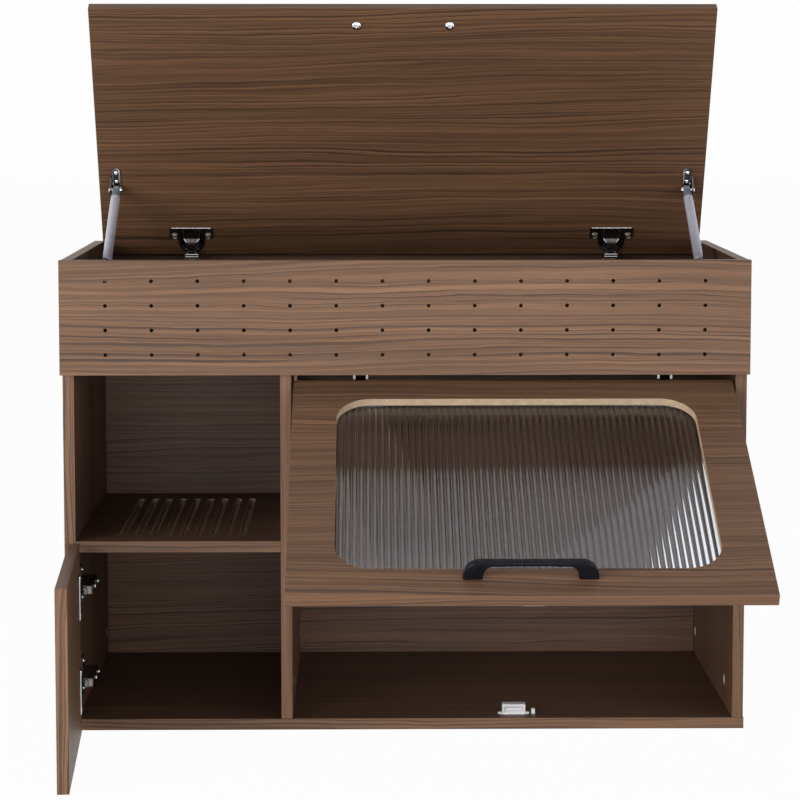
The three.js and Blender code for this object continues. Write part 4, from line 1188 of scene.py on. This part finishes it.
def add_flange(shape, edge, back, face, u):
    """The flange plate, open round the cup's mouth, with a raised rim along its straight back edge. The rim
    takes the second material, a painted highlight where that is brighter steel.
    """
    half, front = WING["length"] / 2, edge - WING["from"]
    mouth, corner_steps, mouth_steps = CUP_RADIUS - 0.0022, 5, 16
    start = math.asin((front - u) / mouth)
    turns = [start - (math.pi + 2 * start) * i / mouth_steps for i in range(mouth_steps + 1)]
    outline = rounded_outline(-half, half, back, front, WING["corner"], corner_steps)
    outline[corner_steps + 1:corner_steps + 1] = [(mouth * math.cos(turn), u + mouth * math.sin(turn))
                                                  for turn in turns]
    add_plate(shape, outline, face - CUP_PLATE, face, round_by=0.0002)
    rim = ((0, -half + 0.002), (0.0008, -half + 0.0024), (0.0011, -half + 0.004), (0.0011, half - 0.004),
           (0.0008, half - 0.0024), (0, half - 0.002))
    add_turned(shape, rim, 12, at((0, back + 0.0008, face - CUP_PLATE)) @ ALONG_X, 1)


def neck_section(share):
    """Direction from the hinge line, and half width, at a share of the neck's arc."""
    angle = math.radians(NECK["start"] + (NECK["end"] - NECK["start"]) * share)
    for (low, narrow), (high, wide) in zip(NECK_WIDTHS, NECK_WIDTHS[1:]):
        if share <= high:
            ease = (share - low) / (high - low)
            half_width = narrow + (wide - narrow) * ease * ease * (3 - 2 * ease)
            break
    return Vector((-math.cos(angle), -math.sin(angle))), half_width


def add_rims(shape, sections):
    """Edges along both sides of a folded strip, through sections of (outer, inner, half width). Their
    outer faces take the second material, a painted highlight where that is brighter steel.
    """
    for side in (-1, 1):
        rings = []
        for outer, inner, half in sections:
            near, far = side * (half - RIM), side * half
            rings.append([(near, *outer), (far, *outer), (far, *inner), (near, *inner)])
        loft(shape, rings, 1, caps=True, one_side=True)


def add_neck(shape, steps=18):
    """The folded neck on an arc about the hinge line: a web between two rims, narrow at the clip. The rims
    take the second material, a painted highlight where that is brighter steel.
    """
    sections = [neck_section(i / steps) for i in range(steps + 1)]
    web = NECK["outer"] - 0.0014
    add_strip(shape, [(reach * web, reach * (web - 0.0012), half - RIM / 2) for reach, half in sections])
    add_rims(shape, [(reach * NECK["outer"], reach * NECK["inner"], half) for reach, half in sections])
    add_turned(shape, ((0, -0.014), (0.0019, -0.014), (0.0019, 0.014), (0, 0.014)), 16,
               at((0, -0.0165, -0.008)) @ ALONG_X)


def add_funnel(shape, face):
    """The wide end of the neck, which lies over the cup's mouth, with its two rims bent up."""
    start, first = neck_section(0.0)
    join_u, join_v = start * NECK["outer"]
    low = face - CUP_PLATE
    stations = ((FUNNEL_FROM, low, FUNNEL_WIDE), (FUNNEL_FROM + 0.004, low - 0.0002, FUNNEL_WIDE),
                (join_u - 0.002, (low + join_v) / 2, (FUNNEL_WIDE + first) / 2), (join_u, join_v, first))
    add_strip(shape, [((u, v + 0.0008), (u, v + 0.0016), half - RIM / 2) for u, v, half in stations])
    add_rims(shape, [((u, v - 0.0004), (u, v + 0.0018), half) for u, v, half in stations])


def cup_shape(edge, inner, neck, flange_to=WING["to"]):
    shape = bmesh.new()
    add_cup(shape, edge, inner, flange_to)
    if neck:
        add_neck(shape)
        add_funnel(shape, inner - PLAY)
    return shape


# %% Make the arms for the lid and the flap
def add_walls(shape, outline, near, far, round_by):
    """The two side walls of a folded arm, between near and far from its middle."""
    for side in (-1, 1):
        add_plate(shape, outline, *sorted((side * near, side * far)), SIDEWAYS, round_by=round_by)


def add_mount(shape, seat, low, thick):
    """The winged mounting plate on the board at u = seat."""
    wings = rounded_outline(-0.026, 0.026, low, low + 0.020, 0.004, 5)
    add_plate(shape, wings, 0.0, thick, at((0, seat, 0)) @ UPRIGHT, round_by=0.0005)


def inset_arm_shape():
    """The cranked arm with its fork, clip, adjusting screws and mounting plate, as folded sheet."""
    shape = bmesh.new()
    top, low, seat, sheet_metal = -0.021, -0.095, 0.015, 0.0012
    spine = ((0.003, low + 0.004), (0.003, low + 0.012), (0.003, top - 0.026), (0.0015, top - 0.022),
             (-0.005, top - 0.0135), (-0.0165, top - 0.0085), (-0.0180, top - 0.0070))
    stations = []
    for i, (u, v) in enumerate(spine):
        before, after = spine[max(i - 1, 0)], spine[min(i + 1, len(spine) - 1)]
        run = Vector((after[0] - before[0], after[1] - before[1])).normalized()
        inside = Vector((run.y, -run.x)) * sheet_metal
        stations.append(((u, v), (u + inside.x, v + inside.y), 0.0096))
    add_strip(shape, stations)
    wall = [(0.0125, low + 0.004), (0.003, low + 0.004), (0.003, top - 0.024), (-0.005, top - 0.0135),
            (-0.018, top - 0.0082), (-0.0198, top - 0.003), (-0.0190, top + 0.0042),
            (-0.0160, top + 0.0042), (-0.0137, top), (0.0125, top)]
    add_walls(shape, wall, 0.0068, 0.0098, 0.0003)
    add_pin(shape, 0.0108, 0.0026, (0.0004, 0.0008), 18, at((0, -0.0088, top - 0.004)) @ ALONG_X)
    add_block(shape, (-0.0085, 0.0085), (0.0118, seat), (low + 0.006, top - 0.004), 0.001)
    add_mount(shape, seat, low + 0.014, 0.0022)
    for u, v, radius in ((-0.0180, top + 0.0037, 0.0011), (-0.0190, top + 0.0004, 0.0010)):
        add_pin(shape, 0.0094, radius, (0.0003, 0.0004), 14, at((0, u, v)) @ ALONG_X, 1)
    return shape


def inset_arm_screws(matrix, x):
    """The arm's two adjusting screws and the plate's two fixing screws."""
    adjusting = ((0, 0.0029, -0.058, 0.0042), (0, 0.0029, -0.082, 0.0036))
    fixing = [(side * 0.0185, 0.0128, -0.071, 0.0036) for side in (-1, 1)]
    return [screw(matrix, x + aside, *place, FORWARDS) for aside, *place in (*adjusting, *fixing)]


CUP_EDGE, CUP_FACE = 0.012, -0.015
FLANGE_TO = {"lid": 0.0450, "flap": 0.0395}
# The lid's cups take bright steel as their second material: a painted highlight on the rims and screw dishes
# of the dark nickel sheet. The flap's cups stay nickel.
FLANGE_RIM_HIGHLIGHT = {"lid": steel, "flap": nickel}
carcass_screws = []
wing_screws = {"lid": [], "flap": [], "door": []}
for body, matrix, shut in (("lid", LID, LID_SHUT), ("flap", FLAP, FLAP_SHUT)):
    for side in ("left", "right"):
        x = measure(f"{body}_hinge_cup_{side}", matrix)[3].x
        deliver(f"{body}_cup_{side}", cup_shape(CUP_EDGE, CUP_FACE, True, FLANGE_TO[body]),
                [nickel, FLANGE_RIM_HIGHLIGHT[body]], matrix @ at((x, 0, 0)), body, "dark_nickel",
                f"{body}_hinge_cup_{side}")
        deliver(f"{body}_arm_{side}", inset_arm_shape(), [nickel, steel], shut @ at((x, 0, 0)), "carcass",
                "dark_nickel", f"{body}_hinge_arm_{side}")
        carcass_screws += inset_arm_screws(shut, x)
        wing_screws[body] += [screw(matrix, x + sign * WING["screws"] / 2, CUP_EDGE - WING["u"],
                                    CUP_FACE - 0.0013, 0.0032) for sign in (-1, 1)]


# %% Make the door's hinges
def door_arm_shape(seat):
    """The arm along the side panel, its closed front, its tongue into the cup, and the plate. seat is the
    panel's u."""
    shape = bmesh.new()
    low, front, sheet_metal = -0.1015, -0.0205, 0.0014
    web, tongue = seat - 0.021, seat - 0.015
    arm = ((web + 0.004, low + 0.003), (web, low + 0.014), (web, front))
    strip = ((tongue, front - 0.006), (tongue, front + 0.002), (tongue + 0.001, -0.014),
             (tongue + 0.0035, -0.0125))
    for spine, half in ((arm, 0.0062), (strip, 0.0040)):
        add_strip(shape, [((u, v), (u + sheet_metal, v), half) for u, v in spine])
    wall = [(seat - 0.002, low), *arm, (seat - 0.0095, front), (seat - 0.0095, -0.030),
            (seat - 0.002, -0.034)]
    add_walls(shape, wall, 0.0046, 0.0060, 0.0002)
    add_block(shape, (-0.0056, 0.0056), (seat - 0.009, seat - 0.002), (low + 0.006, -0.036), 0.0008)
    add_block(shape, (-0.0060, 0.0060), (web + 0.0002, seat - 0.0092), (front - 0.0014, front - 0.0001),
              0.0008, material=1)
    add_pin(shape, 0.0048, 0.0022, (0.0004, 0.0006), 18, at((0, tongue + 0.003, -0.0160)) @ ALONG_X)
    add_mount(shape, seat, low + 0.022, 0.0024)
    return shape


SEAT = Vector(joints["door_hinge"]["pos_m"]).x - span("left_side_panel")[1].x
DOOR_EDGE, DOOR_INNER = 0.004, -0.018
for level, height in (("lower", 0.064), ("upper", 0.188)):
    turned, fixed = door_place(height, True), door_place(height, False)
    # The door's cups take bright steel for the flange rim and screw dishes: a painted highlight.
    deliver(f"door_cup_{level}", cup_shape(DOOR_EDGE, DOOR_INNER, False), [nickel, steel], turned, "door",
            "dark_nickel", f"door_hinge_cup_{level}")
    deliver(f"door_arm_{level}", door_arm_shape(SEAT), [nickel, satin], fixed, "carcass", "dark_nickel",
            f"door_hinge_arm_{level}")
    carcass_screws += [screw(fixed, 0, SEAT - 0.0212, v, 0.0036, FORWARDS) for v in (-0.052, -0.086)]
    for side in (-1, 1):
        carcass_screws.append(screw(fixed, side * 0.0185, SEAT - 0.0024, -0.0695, 0.0036, FORWARDS))
        wing_screws["door"].append(screw(turned, side * WING["screws"] / 2, DOOR_EDGE - WING["u"],
                                         DOOR_INNER - 0.0013, 0.0032))

set_screws("carcass_hinge_screws", carcass_screws, steel, "carcass", "bright_steel", seed=5)
for body, places in wing_screws.items():
    set_screws(f"{body}_wing_screws", places, brass, body, "brassy_screw", seed=7)

# %% [markdown]
# ## Lid stays
#
# Two thin gas stays hold the lid. The tube hangs from a pin on the lid and the polished rod stands on
# the side panel. Tube, rod and ends are turned shapes about the stay's own line, so we shape them
# hanging down from the upper pin and one matrix sets them in place.

# %% Make the stays
STAY_X = 0.406
STAY_FOOT = Vector((0, -0.101, 0.566))
stay_pin = Vector(joints["stay_pin_left"]["pos_m"])
STAY_LENGTH = math.hypot(stay_pin.y - STAY_FOOT.y, stay_pin.z - STAY_FOOT.z)
STAY_TURN = math.atan2(STAY_FOOT.y - stay_pin.y, stay_pin.z - STAY_FOOT.z)
TUBE_TOP, TUBE_END, TUBE_RADIUS, TUBE_BORE = -0.020, -0.168, 0.0066, 0.0036
ROD_RADIUS, ROD_TOP = 0.003, -0.148


def tube_profile():
    r, top, end = TUBE_RADIUS, TUBE_TOP, TUBE_END
    return ((0, top), (r - 0.0006, top), (r, top - 0.0006), (r, end + 0.004), (r - 0.0004, end + 0.0032),
            (r - 0.0004, end + 0.0026), (r, end + 0.0018), (r, end + 0.0010), (r - 0.0010, end),
            (TUBE_BORE, end), (TUBE_BORE, top - 0.012), (0, top - 0.012))


def eye_shape(radius, neck, neck_radius, flare):
    """A moulded end: an eye across X with a small washer on each side, and a collar down the stay."""
    shape = bmesh.new()
    add_pin(shape, 0.004, radius, (0.0008, 0.0008), 32, ALONG_X)
    add_pin(shape, 0.0046, 0.0034, (0.0004, 0.0004), 24, ALONG_X)
    add_turned(shape, ((0, 0.0), (neck_radius - 0.0006, 0.0), (neck_radius, -0.004),
                       (neck_radius, neck + 0.006), (flare, neck + 0.0045), (flare, neck + 0.0005),
                       (flare - 0.0005, neck), (0, neck)), 32)
    return shape


for side, sign in (("left", -1), ("right", 1)):
    tube_body, rod_body = f"stay_tube_{side}", f"stay_rod_{side}"
    hang = at((sign * STAY_X, stay_pin.y, stay_pin.z)) @ Matrix.Rotation(STAY_TURN, 4, "X")
    foot = hang @ at((0, 0, -STAY_LENGTH)) @ Matrix.Rotation(math.pi, 4, "X")
    tube, rod = bmesh.new(), bmesh.new()
    add_turned(tube, tube_profile(), 40)
    deliver(f"stay_tube_body_{side}", tube, [lilac_tube], hang, tube_body, "stay_tube", tube_body)
    deliver(f"stay_tube_eye_{side}", eye_shape(0.0065, TUBE_TOP + PLAY, 0.0058, 0.0064), [grey_plastic],
            hang, tube_body, "grey_plastic", f"stay_tube_end_{side}")
    rod_low = -STAY_LENGTH + 0.011 + PLAY
    add_turned(rod, ((0, rod_low), (ROD_RADIUS, rod_low), (ROD_RADIUS, ROD_TOP - 0.0005),
                     (ROD_RADIUS - 0.0005, ROD_TOP), (0, ROD_TOP)), 28)
    deliver(f"stay_rod_body_{side}", rod, [steel], hang, rod_body, "bright_steel", rod_body)
    deliver(f"stay_rod_eye_{side}", eye_shape(0.006, -0.011, 0.004, 0.0042), [grey_plastic], foot, rod_body,
            "grey_plastic", f"stay_rod_end_{side}")


# %% Make the stay brackets
def add_frame(shape, box, corner, width, low, high, material=0):
    """A raised rim of one width round a rounded box of (left, right, bottom, top)."""
    left, right, bottom, top = box
    outer = rounded_outline(*box, corner, 8)
    inner = rounded_outline(left + width, right - width, bottom + width, top - width, corner - width, 8)
    loft(shape, [[(x, y, z) for x, y in points] for points, z in (
        (outer, low), (inner, low), (inner, high), (outer, high))], material, around=True)


def quarter_turn(sign):
    return Matrix.Rotation(sign * math.radians(90), 4, "Y")


PIN_U, PIN_V, WALL_X, STUD_GAP = -0.100, -0.025, 0.433, 0.0044
bracket_screws = {"lid": [], "carcass": []}
for side, sign in (("left", -1), ("right", 1)):
    u, v, face = PIN_U, PIN_V, LEAF_FACE
    shape = bmesh.new()
    low, high = span(f"lid_stay_bracket_{side}", LID)
    loop = (*sorted((sign * 0.4005, sign * 0.4115)), low.y, low.y + 0.037)
    add_plate(shape, rounded_outline(*loop, 0.0054, 8), face - 0.0012, face, round_by=0.0003)
    add_frame(shape, loop, 0.0054, 0.0019, face - 0.0020, face - 0.0002, material=1)
    add_block(shape, sorted((sign * 0.4113, sign * 0.415)), (u - 0.018, u + 0.007), (face - 0.002, face),
              0.0006)
    ear = [(u + 0.007, face - 0.001), (u - 0.018, face - 0.001), (u - 0.008, v - 0.005),
           (u - 0.003, v - 0.007), (u + 0.003, v - 0.007), (u + 0.007, v - 0.004)]
    add_plate(shape, ear, *sorted((sign * 0.4125, sign * 0.415)), SIDEWAYS, round_by=0.0006)
    add_turned(shape, ((0, -0.0085), (0.0032, -0.0085), (0.0040, -0.0076), (0.0040, -0.0052),
                       (0.0025, -0.0050), (0.0025, 0.0090), (0.0036, 0.0090), (0.0036, 0.0102),
                       (0.0030, 0.0108), (0, 0.0108)), 24, at((sign * STAY_X, u, v)) @ quarter_turn(sign), 1)
    deliver(f"lid_stay_plate_{side}", shape, [nickel, steel], LID, "lid", "dark_nickel",
            f"lid_stay_bracket_{side}")
    bracket_screws["lid"] += [screw(LID, sign * STAY_X, low.y + inset, face - 0.0012, 0.0030)
                              for inset in (0.008, 0.022)]

    shape = bmesh.new()
    low, high = span(f"stay_side_bracket_{side}")
    flat = Matrix(((0, 0, -sign, sign * WALL_X), (1, 0, 0, 0), (0, 1, 0, 0), (0, 0, 0, 1)))
    add_plate(shape, rounded_outline(low.y, high.y, low.z, high.z, 0.0085, 8), 0.0, 0.002, flat,
              round_by=0.0005)
    stud = WALL_X - (STAY_X + STUD_GAP)
    add_turned(shape, ((0, 0.001), (0.006, 0.001), (0.006, 0.0035), (0.004, 0.005), (0.004, stud - 0.0006),
                       (0.0034, stud), (0, stud)), 24,
               at((sign * WALL_X, STAY_FOOT.y, STAY_FOOT.z)) @ quarter_turn(-sign))
    deliver(f"side_stay_plate_{side}", shape, [nickel], HERE, "carcass", "dark_nickel",
            f"stay_side_bracket_{side}")
    bracket_screws["carcass"] += [screw(HERE, sign * 0.431, STAY_FOOT.y, z, 0.0036, (-sign, 0, 0))
                                  for z in (low.z + 0.0065, high.z - 0.0065)]

for body, places in bracket_screws.items():
    set_screws(f"{body}_bracket_screws", places, steel, body, "bright_steel", seed=11)

# %% [markdown]
# ## Small fittings
#
# A white magnetic catch sits on the bottom board and its steel strike plate on the flap. A little bump
# stop stands beside it, and beige discs close the cam locks. They are small, so a few rounded blocks,
# two slots and a dished disc are enough.

# %% Make the catch, the strike plate, the stop and the cam discs
def about(x, half):
    return x - half, x + half


low, high, _, middle = measure("magnet_catch")
shape, recess, magnet = bmesh.new(), bmesh.new(), bmesh.new()
add_block(shape, about(middle.x, 0.0155), (low.y, high.y), (low.z, high.z), 0.0012)
ears = rounded_outline(low.x, high.x, *about(middle.y, 0.0045), 0.0042, 6)
add_plate(shape, ears, low.z, low.z + 0.0024, round_by=0.0004)
for side in (-1, 1):
    add_block(shape, about(middle.x + side * 0.0065, 0.0035), (low.y - 0.0002, low.y + 0.003),
              (low.z + 0.0105, low.z + 0.0118), 0.0003)
catch = new_piece("catch_body", shape, [white_plastic])
add_block(recess, about(middle.x, 0.0115), (low.y - 0.01, low.y + 0.0022), (low.z + 0.0042, low.z + 0.0092),
          0.0006)
carve(catch, new_piece("recess", recess, [white_plastic]))
hand_over(catch, "carcass", "white_plastic", "magnet_catch")

for height in (0.0050, 0.0074):
    add_block(magnet, about(middle.x, 0.0105), (low.y + 0.0006, low.y + 0.004),
              (low.z + height, low.z + height + 0.0012), 0.0002)
pole = new_piece("catch_pole_strips", magnet, [steel])
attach(pole, "carcass")

CATCH_SCREWS = ("catch_screw_left", "catch_screw_right")
catch_places = [screw(HERE, place.x, place.y, low.z + 0.0025, 0.0025, Z)
                for place in (measure(name)[3] for name in CATCH_SCREWS)]
set_screws("catch_screws", catch_places, brass, "carcass", "brassy_screw", *CATCH_SCREWS, seed=13)

SUNK_HEAD, STRIKE_INSET = 0.0012, 0.006
low, high, size, middle = measure("catch_strike_plate", FLAP)
shape = bmesh.new()
add_plate(shape, rounded_outline(low.x, high.x, low.y, high.y, 0.0035, 6), low.z, high.z, round_by=0.0003)
deliver("strike_plate", shape, [steel], FLAP, "flap", "bright_steel", "catch_strike_plate")
strike_places = [screw(FLAP, low.x + inset, middle.y, low.z + SUNK_HEAD, 0.0024)
                 for inset in (STRIKE_INSET, size.x - STRIKE_INSET)]
set_screws("strike_screws", strike_places, brass, "flap", "brassy_screw", seed=17)

low, high = span("flap_bump_stop")
shape = bmesh.new()
add_block(shape, (low.x, high.x), (low.y, high.y), (low.z, high.z), 0.0011)
deliver("bump_stop", shape, [white_plastic], HERE, "carcass", "white_plastic", "flap_bump_stop")

DISC = ((0, -0.0118), (0.0073, -0.0118), (0.0075, -0.0110), (0.0075, -0.0004), (0.0072, 0.0), (0.0058, 0.0),
        (0.0055, -0.0005), (0, -0.0005))
CROSS_TURN = 0.35
for side, inward in (("left", 1), ("divider", 1), ("right", -1)):
    shape = bmesh.new()
    for end in ("front", "rear"):
        low, high, _, middle = measure(f"cam_lock_{side}_{end}")
        place = at((high.x if inward > 0 else low.x, middle.y, middle.z)) @ quarter_turn(inward)
        add_turned(shape, DISC, 32, place)
        for turn in (CROSS_TURN, CROSS_TURN + math.pi / 2):
            add_block(shape, (-0.0036, 0.0036), (-0.0005, 0.0005), (-0.0008, -0.0001), 0.0001,
                      place @ Matrix.Rotation(turn, 4, "Z"))
    deliver(f"cam_discs_{side}", shape, [beige_plastic], HERE, "carcass", "cam_beige",
            f"cam_lock_{side}_front", f"cam_lock_{side}_rear")

# %% [markdown]
# ## Clearing up
#
# The screw head was only a pattern for the copies, so it goes.

# %% Remove the screw pattern
bpy.data.objects.remove(screw_head)
